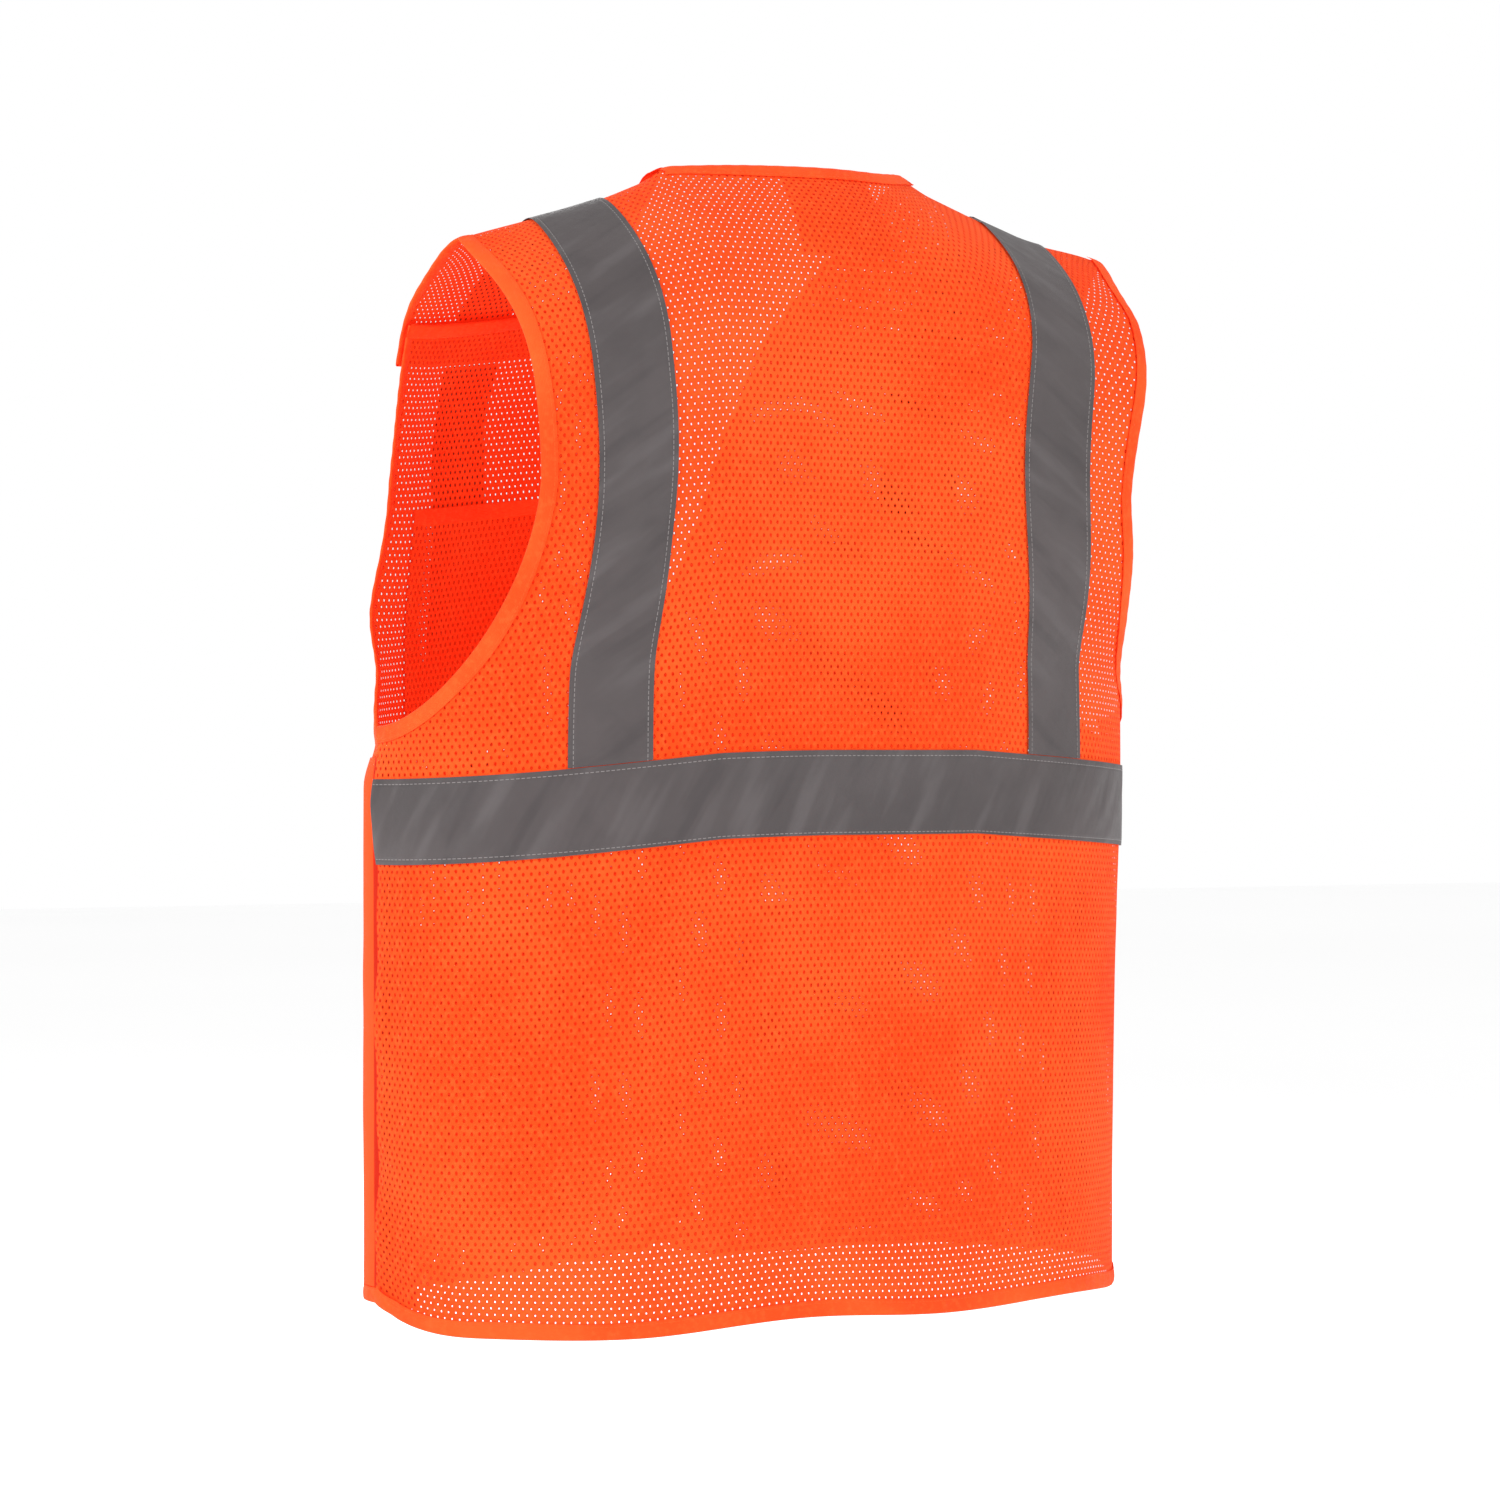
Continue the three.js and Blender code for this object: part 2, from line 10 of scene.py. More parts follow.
import bpy
import numpy as np
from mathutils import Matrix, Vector


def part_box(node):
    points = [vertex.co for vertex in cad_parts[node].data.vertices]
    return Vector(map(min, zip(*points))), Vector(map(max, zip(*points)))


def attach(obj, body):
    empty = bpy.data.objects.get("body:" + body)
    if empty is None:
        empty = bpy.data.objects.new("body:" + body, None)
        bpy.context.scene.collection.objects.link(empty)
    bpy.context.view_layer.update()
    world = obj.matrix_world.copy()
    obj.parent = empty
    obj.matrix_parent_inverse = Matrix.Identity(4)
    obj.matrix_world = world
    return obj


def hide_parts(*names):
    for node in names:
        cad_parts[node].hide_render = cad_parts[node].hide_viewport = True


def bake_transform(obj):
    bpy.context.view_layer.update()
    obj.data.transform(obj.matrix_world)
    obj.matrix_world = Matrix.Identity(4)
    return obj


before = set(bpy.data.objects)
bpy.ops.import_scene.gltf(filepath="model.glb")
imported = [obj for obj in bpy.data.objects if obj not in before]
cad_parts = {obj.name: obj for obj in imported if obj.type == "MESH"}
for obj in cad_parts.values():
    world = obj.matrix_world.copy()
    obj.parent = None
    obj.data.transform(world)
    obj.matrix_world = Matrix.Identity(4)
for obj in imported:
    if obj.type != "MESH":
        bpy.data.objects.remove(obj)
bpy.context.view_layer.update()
MM = 0.001

# ---------------------------------------------------------------- sizes, from the frame where it holds them

back_low, back_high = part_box("back_panel")
BACK_HEM = 5
FRONT_HEM = 20
NECK_HEIGHT = BACK_HEM - back_low.z / MM
RIDGE_SETBACK = 40
CLOTH = 0.8
HALF_WIDTH = back_high.x / MM - CLOTH
BACK_DEPTH = back_high.y / MM + RIDGE_SETBACK - CLOTH
FRONT_DEPTH = 127
NECK_HALF = 89
NECK_BULGE = 40
SHOULDER_REACH = 226
SLOPE = 0.326
BACK_ROLL = 105
FRONT_ROLL = 160
ROLL_POWER = 2.4
SIDE_SAG = 0.4
RIDGE_PULL = 12
BACK_SQUARENESS = 2.2
BLADE_SQUARENESS = 4.2
FRONT_SQUARENESS = 2
CHEST_LOW = {1: 395, -1: 420}
CHEST_HIGH = 505
CHEST_WIDTH_LOSS = 9
CHEST_DEPTH_LOSS = 14

HEM_CORNER = (80, 17)
FRONT_CORNER = (42, 24)
UNDERARM = 364
ARMHOLE_DEPTH = 138
FRONT_UNDERARM_DROP = 16
BACK_NARROW = 206
FRONT_NARROW = 247
NECK_POINT = 402
BACK_OVERRUN = 1
SIDE_LAP = 30
PLACKET_LAP = 26
FRONT_TOP = 622
SHOULDER_OVERLAP = 29
BINDING = 9
TAPE = 50.8
WAIST_TOP = 344
SHOULDER_TAPE = 156
STACK = 3.8
PLACKET_SINK = 4.2
CHEST_POCKET = {"near": 103, "far": 222, "low": 352, "high": 504}
LOWER_POCKET = {"near": 55, "far": 205, "low": 38, "high": 243}
LABEL = (61, 62)
STRIP = 17
PLACKET_STRIP = 15
PLACKET_INSET = 9.5
TRIM_GAP = 0.5
SIDE_HOOK_REACH = 24
SIDE_LOOP_REACH = 40
WAIST_TAPE_STOP = 44
HOOK_MARGIN, LOOP_MARGIN = 11, 10
OVER, UNDER = 1.0, -1.0
TAPE_CELLS = np.linspace(-TAPE / 2, TAPE / 2, 15)
TAPE_WRINKLE = (22, 22, 40)

# Where rows are measured up the shoulders, as a length from the centre line
SHOULDER_U = 150


def ease(value, low, high):
    share = np.clip((value - low) / (high - low), 0, 1)
    return share * share * (3 - 2 * share)


def mix(a, b, share):
    return a + (b - a) * share


def noise(points, scale, seed):
    """Smooth value noise from -1 to 1 at (..., 3) points."""
    scaled = points / np.asarray(scale, float)
    cell = np.floor(scaled)
    share = scaled - cell
    share = share * share * (3 - 2 * share)
    total = np.zeros(points.shape[:-1])
    for corner in itertools.product((0, 1), repeat=3):
        corner = np.array(corner)
        at = cell + corner
        value = np.sin(at @ np.array([127.1, 311.7, 74.7]) + seed * 53.3) * 43758.5453
        weight = np.prod(np.where(corner == 1, share, 1 - share), axis=-1)
        total += weight * (value - np.floor(value))
    return 2 * total - 1


# ---------------------------------------------------------------- body form


def shoulder_drop(x):
    return SLOPE * np.maximum(0, np.abs(x) - NECK_HALF)


def height_on_row(row, hem, x):
    sag = SIDE_SAG * row + (1 - SIDE_SAG) * np.maximum(row, 0) ** RIDGE_PULL
    return hem + row * (NECK_HEIGHT - hem) - shoulder_drop(x) * sag


def row_at_height(height, hem, x=0):
    rows = np.linspace(0, 1.02, 2041)
    return float(np.interp(height, height_on_row(rows, hem, x), rows))


def ridge_y(facing, x):
    across = np.clip(np.abs(x) / NECK_HALF, 0, 1)
    return RIDGE_SETBACK + (NECK_BULGE * (1 - across * across) if facing > 0 else 0)


def form(facing, angle, row, hem):
    """Half of a section: angle 0 is the centre line of the back (facing 1) or front (-1), 90 the side."""
    towards = np.where(np.cos(angle) >= 0, facing, -facing)
    level = row * NECK_HEIGHT
    chest = ease(level, CHEST_LOW[facing], CHEST_HIGH)
    back = towards > 0
    power = 2 / np.where(back, mix(BACK_SQUARENESS, BLADE_SQUARENESS, chest), FRONT_SQUARENESS)
    width = HALF_WIDTH - (0 if facing > 0 else CHEST_WIDTH_LOSS * chest)
    depth = np.where(back, BACK_DEPTH, FRONT_DEPTH - CHEST_DEPTH_LOSS * chest)
    x = width * np.abs(np.sin(angle)) ** power
    full = towards * depth * np.abs(np.cos(angle)) ** power
    height = height_on_row(row, hem, x)
    roll = BACK_ROLL if facing > 0 else FRONT_ROLL
    risen = np.maximum(0, 1 - (NECK_HEIGHT - shoulder_drop(x) - height) / roll)
    y = full + (ridge_y(facing, x) - full) * risen**ROLL_POWER
    return np.stack(np.broadcast_arrays(x, y, height), -1)


class Girth:
    """Angles by the length run from the centre line, for every row."""

    def __init__(self, facing):
        self.rows = np.linspace(-0.05, 1.03, 217)
        self.steps = np.linspace(0, 470, 471)

        # Finest at the centre line and at the side, where the length runs fastest with the angle
        share = np.linspace(0, 1, 900) ** 2.4
        side, end = math.pi / 2, math.radians(125)
        angles = np.unique(np.concatenate([end * share, side - share, side + (end - side) * share]))
        points = form(facing, angles[None, :], self.rows[:, None], 0)
        runs = np.linalg.norm(np.diff(points, axis=1), axis=-1)
        lengths = np.concatenate([np.zeros((len(self.rows), 1)), np.cumsum(runs, 1)], 1)
        self.table = np.array([np.interp(self.steps, run, angles) for run in lengths])
        self.side = float(np.interp(math.pi / 2, angles, lengths[np.abs(self.rows).argmin()]))
        quarter = angles <= math.pi / 2
        self.lengths, self.reach = lengths[:, quarter], points[:, quarter, 0]

    def angle(self, row, length):
        r = np.clip((row - self.rows[0]) / (self.rows[1] - self.rows[0]), 0, len(self.rows) - 1.001)
        s = np.clip(length, 0, self.steps[-2])
        i, j = r.astype(int), s.astype(int)
        a, b = r - i, s - j
        low = self.table[i, j] * (1 - b) + self.table[i, j + 1] * b
        high = self.table[i + 1, j] * (1 - b) + self.table[i + 1, j + 1] * b
        return low * (1 - a) + high * a

    def length_at(self, row, x):
        """The length at which each row reaches x."""
        at = np.array([np.interp(x, reach, run) for reach, run in zip(self.reach, self.lengths)])
        return np.interp(row, self.rows, at)


GIRTHS = {1: Girth(1), -1: Girth(-1)}
BACK_SIDE, FRONT_SIDE = GIRTHS[1].side, GIRTHS[-1].side


# ---------------------------------------------------------------- hang of the cloth

CREST_ROUNDING = 9
LEFT_DROP = 6.5
HEM_WAVE = 2
RIGHT_DRAW_IN = 2.5
RIGHT_HEM_DRAW_IN = 6
BACK_EDGE_OUT = 12
FRONT_EDGE_OUT = 4
NECK_POINT_IN, NECK_POINT_UP = 8, 4

BACK_EDGE_LIFT = 2.3
SIDE_CLOSING_LIFT = {1: 6.5, -1: 3.0}
SIDE_CLOSING_PRESS = 2.6
FLARE_WIDTH = 34
FLARE_TOP, FLARE_MORE_BELOW = 4.0, 4.0


def bell(value, middle, spread):
    return np.exp(-(((value - middle) / spread) ** 2))


def hang(p, facing):
    """How the cloth departs from the even form: soft shoulders, a lower left side, a drawn-in hem."""
    x, y, z = p[..., 0].copy(), p[..., 1].copy(), p[..., 2].copy()
    reach = np.abs(x) - NECK_HALF
    ridge = NECK_HEIGHT - shoulder_drop(x)

    # The left shoulder falls beside the neck, the right one rises at its end, and the crest is rounded
    near_ridge = ease(z, ridge - 110, ridge)
    fallen = np.where(x > 0, 3 * ease(reach, 0, 45) - 2 * ease(reach, 60, 140), -9 * ease(reach, 70, 140))
    z -= fallen * near_ridge
    off = np.abs(y - ridge_y(facing, x))
    rounding = np.sqrt(off * off + CREST_ROUNDING**2) - off
    z -= 0.55 * rounding * ease(reach, -6, 16) * ease(z, ridge - 60, ridge - 10)

    # The left side hangs lower, the hem waves, and the right side draws in
    z -= LEFT_DROP * ease(x, 10, 240) * (1 - ease(z, 400, 540))
    z += HEM_WAVE * np.sin(x / 33 + 0.6) * (1 - ease(z, 5, 90))
    draw_in = RIGHT_DRAW_IN * (1 - ease(z, 430, 480)) + RIGHT_HEM_DRAW_IN * (1 - ease(z, 60, 330))
    x += ease(-x, 150, 250) * draw_in

    # Two armhole edges stand further out below the shoulder, and the right neck point is nearer the middle
    off_ridge = 1 - ease(z, ridge - 45, ridge - 5)
    if facing > 0:
        x -= BACK_EDGE_OUT * ease(-x, 178, 215) * bell(z, 580, 68) * off_ridge
    else:
        x += FRONT_EDGE_OUT * ease(x, 150, 215) * bell(z, 608, 34) * off_ridge
    neck_point = bell(x, -92, 34) * bell(z, NECK_HEIGHT, 32)
    x += NECK_POINT_IN * neck_point
    z += NECK_POINT_UP * neck_point
    return np.stack([x, y, z], -1)


def folds(p):
    """Soft folds along the cloth's normal, in millimetres, the same for every layer at one place."""
    x, y, z = p[..., 0], p[..., 1], p[..., 2]

    # Folds of the loose cloth, from broad to small
    broad = 1.7 * noise(p, (95, 95, 190), 1) + 0.8 * noise(p, (45, 45, 110), 2)
    small = 0.25 * noise(p, (17, 17, 26), 3)

    # Slanted drag at the waist tape's left end, and a dip in the back under each shoulder blade
    drag = 0.9 * np.sin((x * 0.75 + z) / 21) * bell(x, 165, 60) * bell(z, 365, 60)
    under = 2.2 * bell(x - 0.35 * (z - 470), 120, 16) * bell(z, 470, 90) * (y > 0)
    pull = 1.8 * bell(-x + 0.25 * (z - 450), 150, 15) * bell(z, 440, 80) * (y > 0)

    # The hem waves in and out, and the shoulders lie smooth
    hemline = 1.3 * np.sin(x / 29 + 1.2) * (1 - ease(z, 15, 130))
    calm = 1 - ease(z, NECK_HEIGHT - 100 - 0.3 * np.abs(x), NECK_HEIGHT - 20 - 0.3 * np.abs(x))
    return (broad + small + drag - under - pull + hemline) * calm


class Surface:
    """One panel's surface: u is the length from the centre line, row goes from hem (0) to ridge (1)."""

    def __init__(self, facing, hand, hem, corner, inner, outer, sink):
        self.facing, self.hand, self.hem, self.corner = facing, hand, hem, corner
        self.inner, self.outer, self.sink = inner, outer, sink
        rows = np.linspace(-0.02, 1.0, 409)
        line = self.base(np.full(len(rows), 100.0), rows)
        runs = np.concatenate([[0], np.cumsum(np.linalg.norm(np.diff(line, axis=0), axis=1))])
        self.run_rows, self.runs = rows, runs - np.interp(0, rows, runs)

    def base(self, u, row):
        length, rise = self.corner
        inner, outer = self.inner(row), self.outer(row)
        span = self.outer(0 * row) - self.inner(0 * row)
        column = np.clip((u - inner) / (outer - inner), -1, 1)
        to_corner = (1 - np.abs(column)) * self.outer(0 * row) if self.facing > 0 else column * span
        lift = rise * np.clip(1 - to_corner / length, 0, 1) ** 2.4 * np.clip(1 - row, 0, 1) ** 9
        angle = GIRTHS[self.facing].angle(row, np.abs(u))
        p = form(self.facing, angle, row, self.hem)
        p[..., 2] += lift
        p[..., 0] *= np.where(u < 0, -1, 1) * self.hand
        return hang(p, self.facing)

    def place(self, u, row, lift=0.0):
        """Points and outward normals in millimetres on the form."""
        u, row = np.broadcast_arrays(np.asarray(u, float), np.asarray(row, float))
        p = self.base(u, row)
        across = self.base(u + 1.5, row) - self.base(u - 1.5, row)
        up = p - self.base(u, row - 0.003)
        normal = self.facing * self.hand * np.cross(up, across)
        normal /= np.maximum(np.linalg.norm(normal, axis=-1, keepdims=True), 1e-9)
        out = lift - self.sink(u, row) + folds(p) + self.side_lift(u, p) + self.flare(u, row, p)
        return p + normal * np.asarray(out)[..., None], normal

    def side_lift(self, u, p):
        """The side closing stands off a little, with the front's plain strip outside the back's edge."""
        low = 1 - ease(p[..., 2], 322, 352)
        if self.facing > 0:
            wave = 1 + 0.5 * np.sin(p[..., 2] / 23) + 0.35 * np.sin(p[..., 2] / 9.5 + 1)
            return BACK_EDGE_LIFT * ease(np.abs(u), BACK_SIDE - 16, BACK_SIDE) * low * wave
        forward = FRONT_SIDE - np.abs(u)
        full = SIDE_CLOSING_LIFT[self.hand]
        return (full * bell(forward, 34, 24) - SIDE_CLOSING_PRESS * bell(forward, 0, 9)) * low

    def flare(self, u, row, p):
        """The free armhole edge of a front stands out from the body."""
        if self.facing > 0:
            return 0 * u
        from_edge = self.outer(row) - np.abs(u)
        free = ease(p[..., 2], 385, 430) * (1 - ease(p[..., 2], 590, 645))
        reach = FLARE_TOP + FLARE_MORE_BELOW * (1 - ease(p[..., 2], 430, 540))
        return reach * np.clip(1 - from_edge / FLARE_WIDTH, 0, 1) ** 2 * free

    def run(self, row):
        return np.interp(row, self.run_rows, self.runs)


def to_frame(points):
    return (points - np.array([0, RIDGE_SETBACK, NECK_HEIGHT])) * MM


# ---------------------------------------------------------------- panel outlines

NECK_POINT_ROW = row_at_height(NECK_POINT, FRONT_HEM)
BACK_SCOOP = (
    row_at_height(UNDERARM, BACK_HEM, HALF_WIDTH),
    row_at_height(UNDERARM + ARMHOLE_DEPTH, BACK_HEM, BACK_NARROW),
)
FRONT_SCOOP = (
    row_at_height(UNDERARM - FRONT_UNDERARM_DROP, FRONT_HEM, HALF_WIDTH),
    row_at_height(UNDERARM + ARMHOLE_DEPTH, FRONT_HEM, FRONT_NARROW),
)
FRONT_TOP_ROW = row_at_height(FRONT_TOP, FRONT_HEM, NECK_HALF)
FLAP_END_ROW = FRONT_TOP_ROW - SHOULDER_OVERLAP / NECK_HEIGHT
BACK_TOP = float(GIRTHS[1].length_at(1.0, SHOULDER_REACH))
FRONT_TOP_LENGTH = float(GIRTHS[-1].length_at(1.0, SHOULDER_REACH))
BACK_NECK = float(GIRTHS[1].length_at(1.0, NECK_HALF))
FRONT_NECK = float(GIRTHS[-1].length_at(1.0, NECK_HALF))


def armhole(row, scoop, full, narrow, top, power, spread):
    row = np.asarray(row, float)
    scooped = np.clip((row - scoop[0]) / (scoop[1] - scoop[0]), 0, 1)
    below = narrow + (full - narrow) * (1 - np.sqrt(scooped)) ** power
    above = np.clip((row - scoop[1]) / (1 - scoop[1]), 0, 2)
    return np.where(row <= scoop[1], below, narrow + (top - narrow) * above**spread)


def back_outer(row):
    return armhole(row, BACK_SCOOP, BACK_SIDE + BACK_OVERRUN, BACK_NARROW, BACK_TOP, 1.4, 2)


def front_outer(row):
    return armhole(row, FRONT_SCOOP, FRONT_SIDE + SIDE_LAP, FRONT_NARROW, FRONT_TOP_LENGTH, 1.8, 5)


def front_inner(row):
    along = np.clip((np.asarray(row, float) - NECK_POINT_ROW) / (1 - NECK_POINT_ROW), 0, 1.1)
    return -PLACKET_LAP / 2 + (FRONT_NECK + PLACKET_LAP / 2) * along


def placket_sink(u, row):
    return PLACKET_SINK * (1 - ease(u, PLACKET_LAP / 2 + 4, PLACKET_LAP + 60))


def no_sink(u, row):
    return 0 * u


BACK = Surface(1, 1, BACK_HEM, HEM_CORNER, lambda row: 0 * np.asarray(row, float), back_outer, no_sink)


def front_surface(hand, sink):
    return Surface(-1, hand, FRONT_HEM, FRONT_CORNER, front_inner, front_outer, sink)


FLAPS = {"left": front_surface(1, no_sink), "right": front_surface(-1, no_sink)}
FRONTS = {
    "left": front_surface(1, lambda u, row: STACK + 0 * u),
    "right": front_surface(-1, lambda u, row: STACK + placket_sink(u, row)),
}


def row_step(surface, u, row, distance):
    """The row that lies a distance further up the cloth."""
    nudge = 0.002
    ahead = surface.base(np.array([u], float), np.array([row + nudge]))
    behind = surface.base(np.array([u], float), np.array([row - nudge]))
    return row + distance * (2 * nudge) / float(np.linalg.norm(ahead - behind))


# ---------------------------------------------------------------- meshes

pieces = {}


def finish_mesh(node, points, faces, uv, slot, body):
    name = f"{node}_piece"
    mesh = bpy.data.meshes.new(name)
    mesh.from_pydata(to_frame(points).tolist(), [], faces)
    loops = np.array(faces).ravel()
    low, high = uv.min(0), uv.max(0)
    bake = 0.01 + 0.98 * (uv - low) / (high - low).max()
    for layer, values in (("OFBake", bake), ("cloth", uv)):
        mesh.uv_layers.new(name=layer).data.foreach_set("uv", values[loops].astype(np.float32).ravel())
    mesh.polygons.foreach_set("use_smooth", np.ones(len(faces), bool))
    mesh.materials.append(MATERIALS[slot])
    obj = bpy.data.objects.new(name, mesh)
    bpy.context.scene.collection.objects.link(obj)
    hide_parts(node)
    if body.endswith("_flap"):
        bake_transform(obj)
    else:
        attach(obj, body)
    pieces[node] = obj
    return obj


def grid_faces(rows, columns, flip):
    r, c = np.meshgrid(np.arange(rows - 1), np.arange(columns - 1), indexing="ij")
    a = (r * columns + c).ravel()
    quads = np.stack([a, a + 1, a + columns + 1, a + columns], 1)
    return (quads[:, ::-1] if flip else quads).tolist()


def sheet(node, surface, u, row, lift, slot, body, across=None):
    """A sheet over a grid of u and row, with a pattern map in millimetres: u across, the run up."""
    u, row = np.broadcast_arrays(np.asarray(u, float), np.asarray(row, float))
    points, _ = surface.place(u, row, lift)
    rows, columns = u.shape
    v = surface.run(row)
    uv = np.stack([u if across is None else across, v], -1).reshape(-1, 2)
    faces = grid_faces(rows, columns, surface.facing * surface.hand > 0)
    return finish_mesh(node, points.reshape(-1, 3), faces, uv, slot, body)


# Section of a binding: distance in from the edge, and height off the cloth
PROFILE = np.array(
    [(9, 0.75), (8.7, 1.0), (7.3, 0.92), (6.4, 1.2), (3, 1.32), (0.6, 1.15), (-0.5, 0.75), (-0.85, 0)]
    + [(-0.5, -0.75), (0.6, -1.15), (3, -1.32), (6.4, -1.2), (7.3, -0.92), (8.7, -1.0), (9, -0.75)]
)


def binding(node, surface, u, row, inside, body, seed=0):
    """A strip folded round an edge; inside is a step of (u, row) that points into the cloth."""
    u, row = np.broadcast_arrays(np.asarray(u, float), np.asarray(row, float))
    edge, normal = surface.place(u, row)
    along = np.gradient(edge, axis=0)
    along /= np.linalg.norm(along, axis=-1, keepdims=True)
    into = np.cross(normal, along)
    ahead, _ = surface.place(u + inside[0], row + inside[1])
    into *= np.sign(np.sum(into * (ahead - edge), -1, keepdims=True))
    run = np.concatenate([[0], np.cumsum(np.linalg.norm(np.diff(edge, axis=0), axis=1))])
    pucker = 1 + 0.12 * np.sin(run / 1.9 + 2 * np.sin(run / 23 + seed)) + 0.1 * np.sin(run / 11 + seed)
    inset = PROFILE[None, :, 0] * (1 + 0.04 * np.sin(run / 17 + seed))[:, None]
    lift = PROFILE[None, :, 1] * pucker[:, None]
    points = edge[:, None] + into[:, None] * inset[..., None] + normal[:, None] * lift[..., None]
    girth = np.concatenate([[0], np.cumsum(np.linalg.norm(np.diff(PROFILE, axis=0), axis=1))])
    uv = np.stack(np.meshgrid(run, girth, indexing="ij"), -1).reshape(-1, 2)
    faces = grid_faces(len(run), len(PROFILE), False)
    first = points.reshape(-1, 3)[faces[5]]
    turn = np.cross(first[1] - first[0], first[2] - first[1]) @ (first.mean(0) - (edge[0] + 3 * into[0]))
    if turn < 0:
        faces = [face[::-1] for face in faces]
    return finish_mesh(node, points.reshape(-1, 3), faces, uv, "binding", body)


def spaced(low, high, step):
    return np.linspace(low, high, max(2, int(abs(high - low) / step) + 1))


def scoop_rows(scoop, top, count_low, count_scoop, count_high):
    low = np.linspace(0, scoop[0], count_low)
    curve = scoop[0] + (scoop[1] - scoop[0]) * np.linspace(0, 1, count_scoop) ** 1.9
    return np.concatenate([low, curve[1:], np.linspace(scoop[1], top, count_high)[1:]])


def shoulder_band(surface, rows):
    """Both edges of the shoulder tape and the cells between, on each row."""
    height = rows * NECK_HEIGHT
    if surface.facing < 0:
        shift = 7 * (1 - ease(rows, 0.86, 1.0)) + 8 * bell(height, 540, 75)
    else:
        shift = -10 * bell(height, 520, 85)
    centre = GIRTHS[surface.facing].length_at(rows, SHOULDER_TAPE) + shift
    return centre[:, None] + TAPE_CELLS[None, :]


def drawn_up(u, row):
    """Diagonal puckers across the waist tape, strongest behind the wearer's left side."""
    share = (row - row.min(0)) / (row.max(0) - row.min(0))
    slant = u + 46 * share
    ridges = np.sin(slant / 6.5 + 2.2 * np.sin(slant / 31)) + 0.6 * np.sin(slant / 3.9 + 1.1)
    held = np.sin(math.pi * np.clip(share, 0, 1)) ** 0.5
    strong = 0.35 + 0.65 * ease(u, -60, 60) * (1 - 0.6 * ease(u, 250, 300))
    patchy = 0.5 + 0.5 * np.sin(u / 37 + 0.8)
    return 1.3 * (1 + ridges / 1.6) * held * strong * patchy


def tape_sheet(node, surface, u, row, body, amount, across=None):
    """Tape stands off its cloth unevenly where the stitching has drawn it up."""
    u, row = np.broadcast_arrays(np.asarray(u, float), np.asarray(row, float))
    lift = OVER + amount * (0.5 + 0.5 * noise(surface.base(u, row), TAPE_WRINKLE, 5))
    if "waist" in node:
        lift = lift + drawn_up(u, row)
    return sheet(node, surface, u, row, lift, "reflective_tape", body, across)


def waist_grid(surface, hem, u):
    high = row_at_height(WAIST_TOP, hem)
    low = np.array([row_step(surface, value, high, -TAPE) for value in u])
    share = np.linspace(0, 1, 17)[:, None]
    return u[None, :], low[None, :] + (high - low[None, :]) * share


def tape_map(obj, across_is_run):
    """Gives a tape its own pattern map: along its length, and across from its middle."""
    mesh = obj.data
    count = len(mesh.loops)
    values = np.zeros(count * 2, np.float32)
    mesh.uv_layers["cloth"].data.foreach_get("uv", values)
    values = values.reshape(-1, 2)
    if across_is_run:
        low, high = values[:, 1].min(), values[:, 1].max()
        values[:, 1] = (values[:, 1] - (low + high) / 2) * TAPE / (high - low)
    else:
        values = values[:, ::-1].copy()
    mesh.uv_layers["cloth"].data.foreach_set("uv", values.ravel())


def shoulder_tape(node, surface, side, rows, body, amount):
    """A shoulder tape between rows, on the side of the centre line that the sign gives."""
    band = side * shoulder_band(surface, rows)
    across = np.broadcast_to(TAPE_CELLS[None, :], band.shape)
    tape_map(tape_sheet(node, surface, band, rows[:, None], body, amount, across), False)


def across_front(rows, count, margin=0):
    """Lengths from a front's inner edge to its outer edge on each row, less a margin at both."""
    inner = front_inner(rows)[:, None] + margin
    outer = front_outer(rows)[:, None] - margin
    return inner + (outer - inner) * np.linspace(0, 1, count)


# ---------------------------------------------------------------- materials


